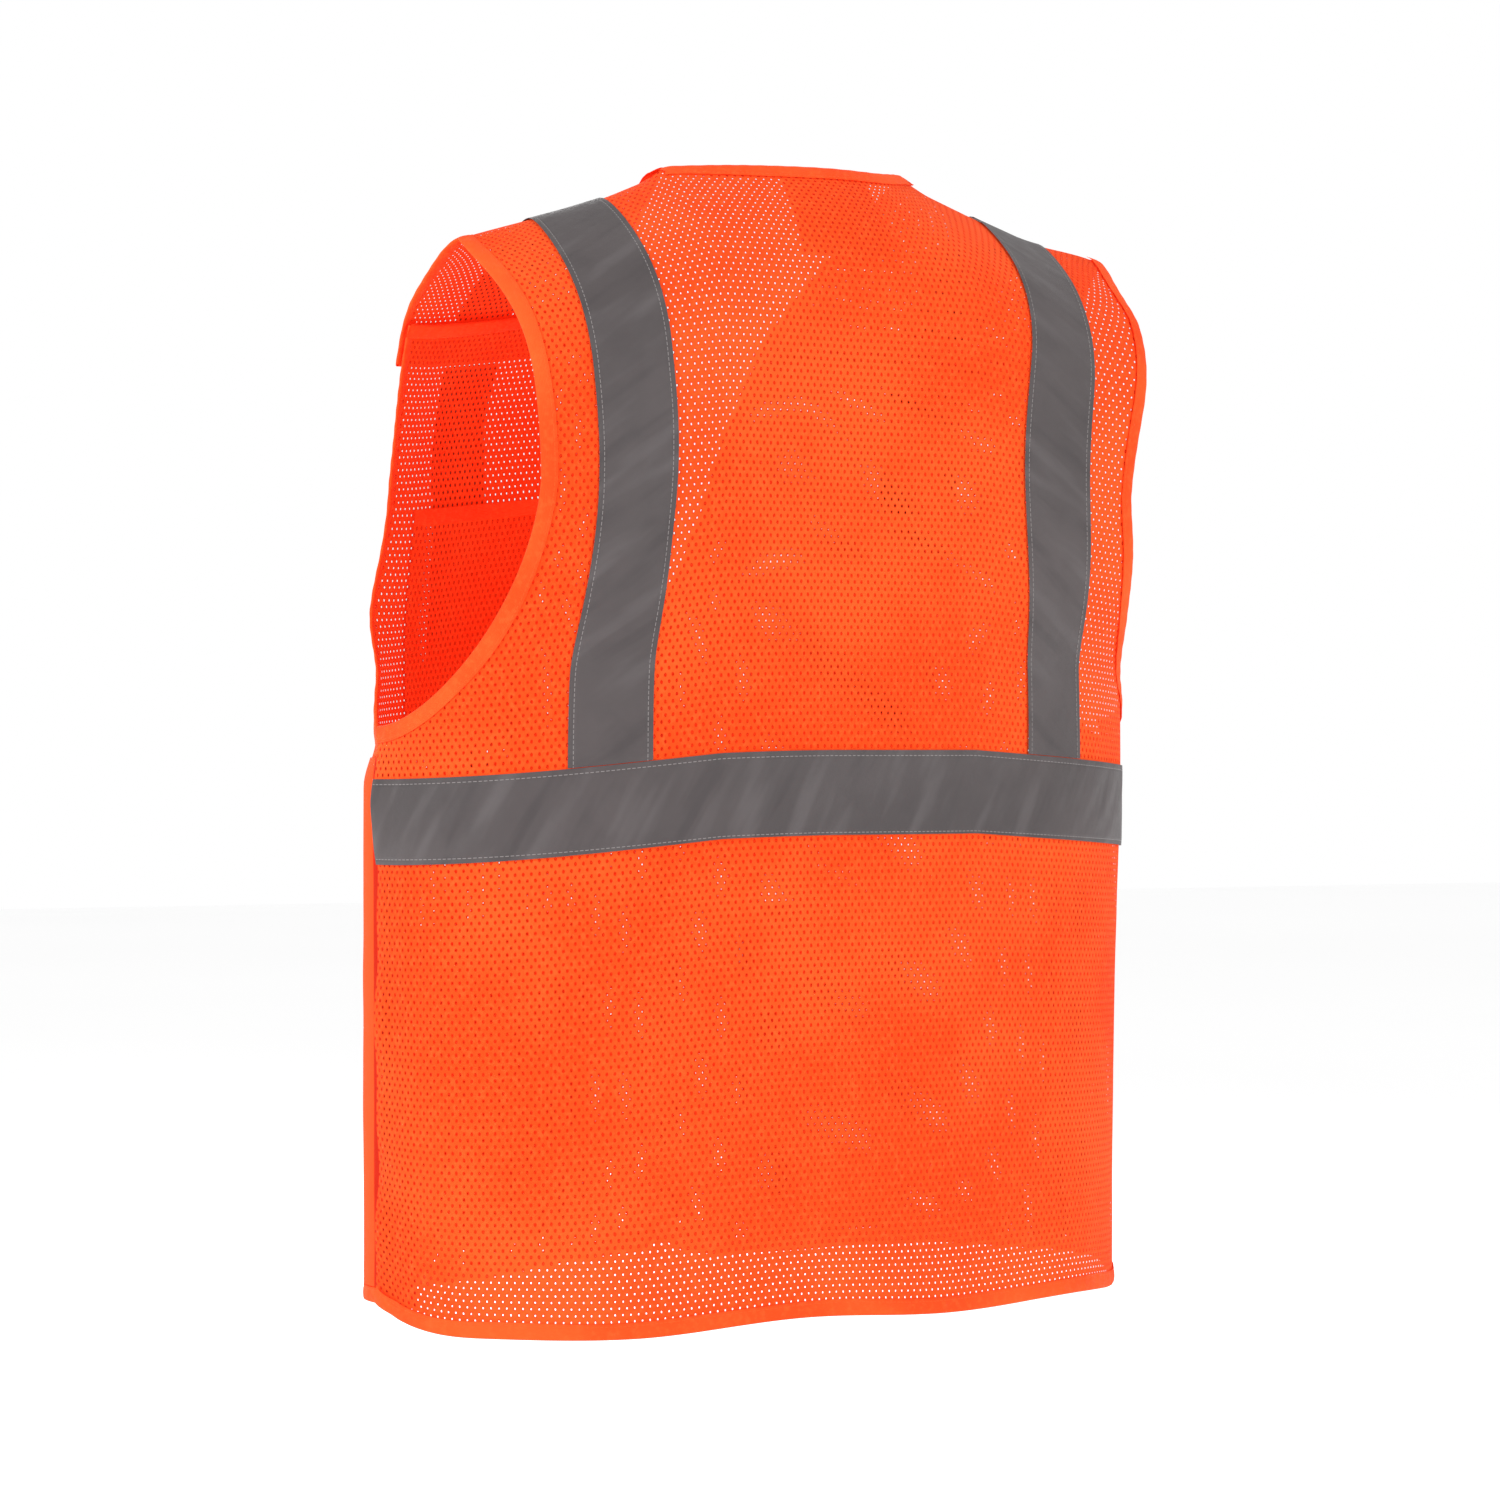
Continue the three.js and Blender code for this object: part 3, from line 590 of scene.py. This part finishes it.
class Nodes:
    """Short ways to write one material's node tree."""

    def __init__(self, name):
        self.material = bpy.data.materials.new(name)
        self.material.use_nodes = True
        self.tree = self.material.node_tree
        self.tree.nodes.clear()
        output = self.tree.nodes.new("ShaderNodeOutputMaterial")
        self.shader = self.tree.nodes.new("ShaderNodeBsdfPrincipled")
        self.tree.links.new(self.shader.outputs[0], output.inputs["Surface"])

    def put(self, socket, value):
        if isinstance(value, bpy.types.NodeSocket):
            self.tree.links.new(value, socket)
        else:
            socket.default_value = value

    def math(self, kind, *values):
        node = self.tree.nodes.new("ShaderNodeMath")
        node.operation = kind
        for socket, value in zip(node.inputs, values):
            self.put(socket, value)
        return node.outputs[0]

    def add(self, *values):
        total = values[0]
        for value in values[1:]:
            total = self.math("ADD", total, value)
        return total

    def times(self, *values):
        product = values[0]
        for value in values[1:]:
            product = self.math("MULTIPLY", product, value)
        return product

    def away(self, value, middle):
        return self.math("ABSOLUTE", self.math("SUBTRACT", value, middle))

    def pattern(self):
        node = self.tree.nodes.new("ShaderNodeUVMap")
        node.uv_map = "cloth"
        split = self.tree.nodes.new("ShaderNodeSeparateXYZ")
        self.put(split.inputs[0], node.outputs[0])
        self.uv = node.outputs[0]
        return split.outputs[0], split.outputs[1]

    def noise(self, scale, detail=2.0, vector=None, rough=0.5):
        node = self.tree.nodes.new("ShaderNodeTexNoise")
        self.put(node.inputs["Scale"], scale)
        self.put(node.inputs["Detail"], detail)
        self.put(node.inputs["Roughness"], rough)
        if vector is None:
            coordinates = self.tree.nodes.new("ShaderNodeTexCoord")
            vector = coordinates.outputs["Object"]
        self.put(node.inputs["Vector"], vector)
        return node.outputs[0]

    def ramp(self, value, low, high):
        node = self.tree.nodes.new("ShaderNodeMapRange")
        node.interpolation_type = "SMOOTHSTEP"
        for socket, given in zip(node.inputs, (value, low, high)):
            self.put(socket, given)
        return node.outputs[0]

    def blend(self, share, first, second):
        node = self.tree.nodes.new("ShaderNodeMix")
        node.data_type = "RGBA"
        self.put(node.inputs["Factor"], share)
        self.put(node.inputs[6], (*first, 1) if isinstance(first, tuple) else first)
        self.put(node.inputs[7], (*second, 1) if isinstance(second, tuple) else second)
        return node.outputs[2]

    def wave(self, value, period):
        return self.math("SINE", self.times(value, 2 * math.pi / period))

    def relief(self, height, strength, distance):
        node = self.tree.nodes.new("ShaderNodeBump")
        self.put(node.inputs["Strength"], strength)
        self.put(node.inputs["Distance"], distance)
        self.put(node.inputs["Height"], height)
        self.put(self.shader.inputs["Normal"], node.outputs[0])

    def dashes(self, along, across, places, length, share, width):
        """1 on a run of stitches at each distance across, 0 elsewhere."""
        cycle = self.math("FRACT", self.math("DIVIDE", along, length))
        stitch = self.ramp(self.away(cycle, 0.5), share / 2, share / 2 - 0.08)
        total = None
        for place in places:
            line = self.ramp(self.away(across, place), width, width * 0.3)
            total = line if total is None else self.math("MAXIMUM", total, line)
        return self.times(total, stitch)

    def dyed_with_painted_glow(self, colour, rough, sheen, specular):
        """Cloth with a faint painted glow, an emission that stands in for fluorescence and bounced light.
        """
        self.set(Base_Color=colour, Roughness=rough, Sheen_Weight=sheen)
        self.set(Emission_Color=(*PAINTED_GLOW, 1), Emission_Strength=PAINTED_GLOW_STRENGTH)
        self.shader.inputs["Specular IOR Level"].default_value = specular

    def set(self, **values):
        for name, value in values.items():
            self.put(self.shader.inputs[name.replace("_", " ")], value)


ORANGE = (1.0, 0.107, 0.017)
ORANGE_DEEP = (0.97, 0.071, 0.009)
ORANGE_PALE = (1.0, 0.137, 0.026)
# Painted shade round each lace hole, for the shadow in and behind the holes
HOLE_RIM_PAINTED_SHADE = (0.6, 0.024, 0.004)
# Painted glow: every cloth piece emits this faint red light, for fluorescence and light bounced between
# layers
PAINTED_GLOW = (1.0, 0.05, 0.008)
PAINTED_GLOW_STRENGTH = 0.15
LABEL_PALE = (1.0, 0.13, 0.035)


def cloth_colour(n, wear_scale=9.0):
    broad = n.noise(wear_scale, 3.0)
    tint = n.blend(n.ramp(broad, 0.35, 0.7), ORANGE_DEEP, ORANGE)
    fine = n.noise(260.0, 2.0)
    return n.blend(n.times(n.ramp(fine, 0.45, 0.75), 0.45), tint, ORANGE_PALE)


def lace_material():
    """Warp-knitted lace mesh: staggered upright oval holes in a ribbed knit."""
    n = Nodes("lace_mesh")
    u, v = n.pattern()
    pitch, spacing = 4.7, 3.95
    hole_width, hole_height = 0.6, 0.86
    wobble = n.times(n.math("SUBTRACT", n.noise(0.35, 1.0, n.uv), 0.5), 0.55)
    line = n.math("DIVIDE", n.add(v, wobble), spacing)
    row = n.math("FLOOR", line)
    shift = n.times(n.math("FLOORED_MODULO", row, 2.0), 0.5)
    place = n.math("FRACT", n.add(n.math("DIVIDE", n.add(u, wobble), pitch), shift))
    from_hole_u = n.times(n.away(place, 0.5), pitch / hole_width)
    from_hole_v = n.times(n.away(n.math("FRACT", line), 0.5), spacing / hole_height)
    reach = n.math("SQRT", n.add(n.math("POWER", from_hole_u, 2.0), n.math("POWER", from_hole_v, 2.0)))
    ragged = n.add(reach, n.times(n.math("SUBTRACT", n.noise(1.1, 2.0, n.uv), 0.5), 0.45))
    solid = n.ramp(ragged, 0.68, 0.88)
    rim = n.ramp(ragged, 0.95, 1.8)
    ribs = n.times(n.wave(n.add(u, n.times(n.wave(v, 1.3), 0.12)), 0.78), 0.12)
    courses = n.times(n.wave(v, 0.66), 0.08)
    fuzz = n.times(n.noise(3.0, 3.0, n.uv), 0.25)
    n.relief(n.add(rim, ribs, courses, fuzz), 0.75, 0.0005)
    # Painted shade: the knit darkens to a deep red round each hole
    colour = n.blend(rim, HOLE_RIM_PAINTED_SHADE, cloth_colour(n))
    rough = n.add(0.72, n.times(n.noise(180.0), 0.22))
    n.dyed_with_painted_glow(colour, rough, 0.03, 0.08)
    n.set(Alpha=solid, Sheen_Roughness=0.45)
    return n.material


def binding_material():
    """Folded knitted binding, with a stitch line near its inner edge on both sides."""
    n = Nodes("edge_binding")
    along, across = n.pattern()
    ribs = n.times(n.wave(across, 0.9), 0.16)
    knit = n.times(n.wave(n.add(along, n.times(across, 0.5)), 0.72), 0.12)
    stitch = n.dashes(along, across, (1.9, 19.9), 2.8, 0.78, 0.4)
    puckers = n.times(n.noise(0.32, 3.0, n.uv), 0.9)
    n.relief(n.add(ribs, knit, puckers, n.times(stitch, 0.8)), 0.55, 0.0006)
    colour = n.blend(n.times(stitch, 0.5), cloth_colour(n, 14.0), ORANGE_PALE)
    rough = n.add(0.6, n.times(n.noise(220.0), 0.28))
    n.dyed_with_painted_glow(colour, rough, 0.03, 0.12)
    return n.material


TAPE_SHADE, TAPE_MID = (0.066, 0.055, 0.056), (0.095, 0.079, 0.08)
TAPE_CLOUD, TAPE_THREAD = (0.052, 0.042, 0.044), (0.30, 0.275, 0.27)
# Painted highlight and painted shade of the tape's slanted creases
CREASE_PAINTED_HIGHLIGHT, CREASE_PAINTED_SHADE = (0.128, 0.112, 0.114), (0.048, 0.039, 0.041)
TAPE_SEAM = TAPE / 2 - 3.2
CREASE_LEAN = math.radians(30)
CREASE_SIZE = (19, 110, 1)


def slanted_creases(n):
    """Long soft creases that lean across the tape."""
    mapping = n.tree.nodes.new("ShaderNodeMapping")
    mapping.vector_type = "TEXTURE"
    n.put(mapping.inputs["Vector"], n.uv)
    mapping.inputs["Rotation"].default_value = (0, 0, CREASE_LEAN)
    mapping.inputs["Scale"].default_value = CREASE_SIZE
    return n.noise(1.0, 2.5, mapping.outputs[0], 0.55)


def tape_material():
    """Grey glass-bead tape: a fine weave, slanted creases and a stitch line inside each long edge."""
    n = Nodes("reflective_tape")
    along, across = n.pattern()
    weave = n.times(n.wave(along, 0.62), n.wave(across, 0.62), 0.1)
    streak = n.noise(7.0, 4.0)
    cloudy = n.noise(38.0, 3.0)
    stitch = n.dashes(along, across, (-TAPE_SEAM, TAPE_SEAM), 3.1, 0.74, 0.3)
    furrow = n.ramp(n.away(n.math("ABSOLUTE", across), TAPE_SEAM), 0.0, 1.6)
    crease = slanted_creases(n)
    tint = n.blend(n.ramp(streak, 0.3, 0.75), TAPE_SHADE, TAPE_MID)
    tint = n.blend(n.times(n.ramp(cloudy, 0.5, 0.8), 0.35), tint, TAPE_CLOUD)
    # Painted highlight on the crests of the slanted creases, painted shade in their hollows
    tint = n.blend(n.times(n.ramp(crease, 0.5, 0.72), 0.55), tint, CREASE_PAINTED_HIGHLIGHT)
    tint = n.blend(n.times(n.ramp(crease, 0.46, 0.3), 0.5), tint, CREASE_PAINTED_SHADE)
    colour = n.blend(stitch, tint, TAPE_THREAD)
    crinkle = n.add(n.times(n.noise(0.085, 4.0, n.uv, 0.6), 1.4), n.times(crease, 5.0))
    n.relief(n.add(weave, crinkle, furrow, n.times(stitch, 0.9)), 0.45, 0.0007)
    rough = n.add(0.4, n.times(n.noise(120.0, 3.0), 0.25))
    n.set(Base_Color=colour, Roughness=rough, Sheen_Weight=0.1)
    n.shader.inputs["Specular IOR Level"].default_value = 0.4
    return n.material


# Painted shade where the back's side edge lies over the front's side strip
CONTACT_PAINTED_SHADE = (0.5, 0.006, 0.002)
CONTACT_FORWARD = 9.0


def closure_material(name, scale, strength):
    """Hook or loop face of a closing strip, with painted shade where the back's side edge lies on it."""
    n = Nodes(name)
    u, v = n.pattern()
    dots = n.times(n.wave(u, scale), n.wave(v, scale))
    fibre = n.noise(2.2 / scale, 4.0, n.uv, 0.7)
    n.relief(n.add(n.times(dots, 0.5), fibre), strength, 0.0006)
    shade = n.blend(n.ramp(fibre, 0.3, 0.7), ORANGE_DEEP, ORANGE)
    forward = n.math("SUBTRACT", FRONT_SIDE, u)
    # Painted shade: a dark red band on the strip beside the back's edge, in place of its contact shadow
    contact = n.ramp(n.away(forward, CONTACT_FORWARD), 4.2, 2.8)
    shade = n.blend(n.times(contact, 0.9), shade, CONTACT_PAINTED_SHADE)
    rough = n.add(0.75, n.times(fibre, 0.2))
    n.dyed_with_painted_glow(shade, rough, 0.03, 0.1)
    return n.material


def label_material():
    """Plain satin label with nothing on it."""
    n = Nodes("neck_label")
    _, v = n.pattern()
    satin = n.times(n.wave(v, 0.5), 0.1)
    cloud = n.noise(30.0, 3.0)
    n.relief(n.add(satin, cloud), 0.35, 0.0005)
    colour = n.blend(n.ramp(cloud, 0.3, 0.7), ORANGE_PALE, LABEL_PALE)
    rough = n.add(0.42, n.times(n.noise(90.0), 0.2))
    n.dyed_with_painted_glow(colour, rough, 0.1, 0.5)
    return n.material


MATERIALS = {
    "mesh_fabric": lace_material(),
    "binding": binding_material(),
    "reflective_tape": tape_material(),
    "hook_strip": closure_material("hook_face", 1.4, 0.7),
    "loop_strip": closure_material("loop_face", 0.9, 0.4),
    "label": label_material(),
}


# ---------------------------------------------------------------- the back


def make_back():
    rows = scoop_rows(BACK_SCOOP, 1.0, 70, 70, 60)
    u = np.linspace(-1, 1, 151)[None, :] * back_outer(rows)[:, None]
    sheet("back_panel", BACK, u, rows[:, None], 0.0, "mesh_fabric", "root")
    neck = spaced(-BACK_NECK - 2, BACK_NECK + 2, 2.0)
    binding("neck_binding", BACK, neck, 1.0, (0, -0.01), "root")
    full = BACK_SIDE + BACK_OVERRUN
    binding("back_hem_binding", BACK, spaced(-full, full, 2.5), 0.0, (0, 0.01), "root", seed=2)
    u, row = waist_grid(BACK, BACK_HEM, spaced(-full + 0.6, full - 0.6, 3.0))
    tape_map(tape_sheet("back_waist_tape", BACK, u, row, "root", 0.9), True)
    for hand, side in (("left", 1), ("right", -1)):
        make_back_trims(hand, side)
    top = row_step(BACK, 0, 1.0, -BINDING - TRIM_GAP)
    label_rows = np.linspace(row_step(BACK, 0, top, -LABEL[1]), top, 24)
    label_u = np.linspace(-LABEL[0] / 2, LABEL[0] / 2, 26)
    sheet("neck_label", BACK, label_u[None, :], label_rows[:, None], -0.9, "label", "root")


def make_back_trims(hand, side):
    arm_rows = scoop_rows(BACK_SCOOP, 1.0, 2, 90, 90)[1:]
    arm_u = side * back_outer(arm_rows)
    binding(f"{hand}_back_armhole_binding", BACK, arm_u, arm_rows, (-side * 3, 0), "root", seed=side)
    low = row_at_height(WAIST_TOP, BACK_HEM)
    tape_rows = np.linspace(row_step(BACK, SHOULDER_U, low, 0.4), 1.0, 110)
    shoulder_tape(f"{hand}_back_shoulder_tape", BACK, side, tape_rows, "root", 0.5)
    strip_end = BACK_SIDE + BACK_OVERRUN - TRIM_GAP
    strip = side * np.linspace(BACK_SIDE - SIDE_HOOK_REACH, strip_end, 10)[None, :]
    strip_rows = np.linspace(0.015, BACK_SCOOP[0] - 0.015, 60)[:, None]
    sheet(f"{hand}_side_hook_strip", BACK, strip, strip_rows, UNDER, "hook_strip", "root")


# ---------------------------------------------------------------- shoulder flaps and fronts


def make_flap(hand):
    surface, body = FLAPS[hand], f"{hand}_flap"
    end = FLAP_END_ROW
    rows = np.linspace(end, 1.0, 60)
    u = across_front(rows, 56)
    sheet(f"{hand}_shoulder_flap", surface, u, rows[:, None], 0.0, "mesh_fabric", body)
    edge_rows = np.linspace(row_step(surface, SHOULDER_U, end, 1), 1.0, 90)
    outer, inner = front_outer(edge_rows), front_inner(edge_rows)
    binding(f"{hand}_flap_armhole_binding", surface, outer, edge_rows, (-3, 0), body, seed=3)
    binding(f"{hand}_flap_neck_binding", surface, inner, edge_rows, (3, 0), body, seed=4)
    end_u = spaced(float(front_inner(end)), float(front_outer(end)), 2.0)
    binding(f"{hand}_flap_end_binding", surface, end_u, end, (0, 0.01), body, seed=5)
    tape_rows = np.linspace(row_step(surface, SHOULDER_U, end, BINDING + TRIM_GAP), 1.0, 60)
    shoulder_tape(f"{hand}_flap_tape", surface, 1, tape_rows, body, 0.4)
    low = row_step(surface, SHOULDER_U, end, BINDING + 0.8)
    hook_rows = np.linspace(low, row_step(surface, SHOULDER_U, low, STRIP), 10)
    hook_u = across_front(hook_rows, 50, HOOK_MARGIN)
    sheet(f"{hand}_flap_hook_strip", surface, hook_u, hook_rows[:, None], UNDER, "hook_strip", body)


def make_front(hand):
    surface, body = FRONTS[hand], f"{hand}_front"
    rows = scoop_rows(FRONT_SCOOP, FRONT_TOP_ROW, 70, 70, 36)
    u = across_front(rows, 96)
    sheet(f"{hand}_front_panel", surface, u, rows[:, None], 0.0, "mesh_fabric", body)
    make_front_bindings(hand, surface, body)
    make_front_tapes(hand, surface, body)
    make_front_strips(hand, surface, body)
    make_pocket(hand, surface, body, "chest_pocket", CHEST_POCKET, -1.2)
    make_pocket(hand, surface, body, "lower_pocket", LOWER_POCKET, 1.2)


def make_front_bindings(hand, surface, body):
    hem_u = spaced(-PLACKET_LAP / 2, FRONT_SIDE + SIDE_LAP, 2.5)
    binding(f"{hand}_front_hem_binding", surface, hem_u, 0.0, (0, 0.01), body, seed=6)
    top = FRONT_TOP_ROW
    top_u = spaced(float(front_inner(top)), float(front_outer(top)), 2.0)
    binding(f"{hand}_front_top_binding", surface, top_u, top, (0, -0.01), body, seed=7)
    arm_rows = scoop_rows(FRONT_SCOOP, top, 2, 90, 60)[1:]
    arm_u = front_outer(arm_rows)
    binding(f"{hand}_front_armhole_binding", surface, arm_u, arm_rows, (-3, 0), body, seed=8)
    edge_rows = np.linspace(0.004, top, 260)
    edge_u = front_inner(edge_rows)
    binding(f"{hand}_front_edge_binding", surface, edge_u, edge_rows, (3, 0), body, seed=9)


def make_front_tapes(hand, surface, body):
    near = -PLACKET_LAP / 2 + (BINDING if hand == "left" else PLACKET_LAP) + TRIM_GAP
    u, row = waist_grid(surface, FRONT_HEM, spaced(near, FRONT_SIDE - WAIST_TAPE_STOP, 3.0))
    tape_map(tape_sheet(f"{hand}_front_waist_tape", surface, u, row, body, 0.7), True)
    low = row_step(surface, SHOULDER_U, row_at_height(WAIST_TOP, FRONT_HEM), 0.4)
    high = row_step(surface, SHOULDER_U, FLAP_END_ROW, -1)
    shoulder_tape(f"{hand}_front_shoulder_tape", surface, 1, np.linspace(low, high, 90), body, 0.4)


def make_front_strips(hand, surface, body):
    kind, lift = ("hook", UNDER) if hand == "left" else ("loop", OVER)
    strip_rows = np.linspace(0.05, NECK_POINT_ROW - 0.045, 70)[:, None]
    strip_u = front_inner(strip_rows) + PLACKET_INSET + np.linspace(0, PLACKET_STRIP, 8)[None, :]
    slot = f"{kind}_strip"
    sheet(f"{hand}_placket_{slot}", surface, strip_u, strip_rows, lift, slot, body)
    top = row_step(surface, SHOULDER_U, FRONT_TOP_ROW, -BINDING - TRIM_GAP)
    loop_rows = np.linspace(row_step(surface, SHOULDER_U, top, -STRIP), top, 10)
    loop_u = across_front(loop_rows, 50, LOOP_MARGIN)
    sheet(f"{hand}_shoulder_loop_strip", surface, loop_u, loop_rows[:, None], OVER, "loop_strip", body)
    side_u = np.linspace(FRONT_SIDE - SIDE_LOOP_REACH, FRONT_SIDE + SIDE_LAP, 34)[None, :]
    side_rows = np.linspace(0.014, FRONT_SCOOP[0] - 0.004, 90)[:, None]
    sheet(f"{hand}_side_loop_strip", surface, side_u, side_rows, OVER, "loop_strip", body)


def make_pocket(hand, surface, body, name, size, lift):
    high = row_at_height(size["high"], FRONT_HEM)
    low = row_at_height(size["low"], FRONT_HEM)
    bound = row_step(surface, size["near"], high, -BINDING)
    u = spaced(size["near"], size["far"], 3.5)[None, :]
    rows = np.linspace(low, bound, 50)[:, None]
    side = np.minimum(u - size["near"], size["far"] - u) / 22
    belly = 1 + 1.6 * np.clip(side, 0, 1) * ease(rows, low, low + 0.6 * (bound - low))
    sheet(f"{hand}_{name}", surface, u, rows, lift * belly, "mesh_fabric", body)
    rim = np.linspace(bound, high, 9)[:, None]
    fold = 1 + 1.6 * np.clip(side, 0, 1) + 0.35 * np.sin(np.linspace(0, math.pi, 9))[:, None]
    sheet(f"{hand}_{name}_binding", surface, u, rim, lift * fold, "binding", body)


make_back()
for hand in ("left", "right"):
    make_flap(hand)
    make_front(hand)


# ---------------------------------------------------------------- the back's trim pieces, by name


def pieces_from(*starts):
    return [n for n in pieces if n.startswith(starts)]


back_trims = pieces_from("neck_", "back_hem", "back_waist", "left_back_", "right_back_")
back_trims += ["left_side_hook_strip", "right_side_hook_strip"]


# ---------------------------------------------------------------- camera, light and floor

CAMERA_TURN = math.radians(30)
CAMERA_DISTANCE = 2900
CAMERA_HEIGHT = 344.0
CAMERA_SENSOR = 36
CAMERA_LENS = 112.056
CAMERA_SHIFT = -0.0046666667
FLOOR_HALF = 14.0
FLOOR_GAP = 0.25
FLOOR_GLOW = 0.34
WORLD_STRENGTH = 0.66
AIM = (0, 0, -0.35)

# Place, size and power of each light
LIGHTS = {
    "key": ((4.0, 0.9, 1.5), 1.2, 85),
    "fill": ((-1.6, 3.8, 1.2), 1.6, 42),
    "front": ((-0.5, -3.4, 1.0), 2.0, 55),
}


def make_camera():
    data = bpy.data.cameras.new("camera")
    camera = bpy.data.objects.new("camera", data)
    bpy.context.scene.collection.objects.link(camera)
    turn, distance = CAMERA_TURN, CAMERA_DISTANCE
    spot = np.array([math.sin(turn) * distance, math.cos(turn) * distance, CAMERA_HEIGHT])
    camera.location = Vector(to_frame(spot))
    view = Vector((-math.sin(turn), -math.cos(turn), 0))
    camera.rotation_mode = "QUATERNION"
    camera.rotation_quaternion = view.to_track_quat("-Z", "Y")
    data.sensor_width = CAMERA_SENSOR
    data.lens = CAMERA_LENS
    data.shift_x = CAMERA_SHIFT
    data.clip_start, data.clip_end = 0.05, 60
    bpy.context.scene.camera = camera


def make_floor():
    half, low = FLOOR_HALF, -NECK_HEIGHT * MM - FLOOR_GAP
    mesh = bpy.data.meshes.new("floor")
    corners = [(-half, -half, low), (half, -half, low), (half, half, low), (-half, half, low)]
    mesh.from_pydata(corners, [], [(0, 1, 2, 3)])
    n = Nodes("floor")
    cloud = n.noise(0.6, 2.0)
    n.set(Base_Color=n.blend(cloud, (0.93, 0.93, 0.93), (0.97, 0.97, 0.97)), Roughness=0.9)
    n.set(Emission_Color=(1, 1, 1, 1), Emission_Strength=FLOOR_GLOW)
    mesh.materials.append(n.material)
    floor = bpy.data.objects.new("floor", mesh)
    bpy.context.scene.collection.objects.link(floor)


def make_light(name, place, size, power):
    data = bpy.data.lights.new(name, "AREA")
    data.shape, data.size, data.energy = "SQUARE", size, power
    light = bpy.data.objects.new(name, data)
    light.location = place
    aim = Vector(AIM) - Vector(place)
    light.rotation_mode = "QUATERNION"
    light.rotation_quaternion = aim.to_track_quat("-Z", "Y")
    bpy.context.scene.collection.objects.link(light)


def make_world():
    world = bpy.data.worlds.new("studio")
    world.use_nodes = True
    tree = world.node_tree
    ground = tree.nodes["Background"]
    ground.inputs["Color"].default_value = (1, 1, 1, 1)
    ground.inputs["Strength"].default_value = WORLD_STRENGTH
    seen = tree.nodes.new("ShaderNodeBackground")
    seen.inputs["Color"].default_value = (1, 1, 1, 1)
    choice = tree.nodes.new("ShaderNodeMixShader")
    rays = tree.nodes.new("ShaderNodeLightPath")
    tree.links.new(rays.outputs["Is Camera Ray"], choice.inputs[0])
    tree.links.new(ground.outputs[0], choice.inputs[1])
    tree.links.new(seen.outputs[0], choice.inputs[2])
    tree.links.new(choice.outputs[0], tree.nodes["World Output"].inputs["Surface"])
    bpy.context.scene.world = world
    bpy.context.scene.view_settings.view_transform = "Standard"


make_camera()
make_floor()
make_world()
for light_name, settings in LIGHTS.items():
    make_light(light_name, *settings)
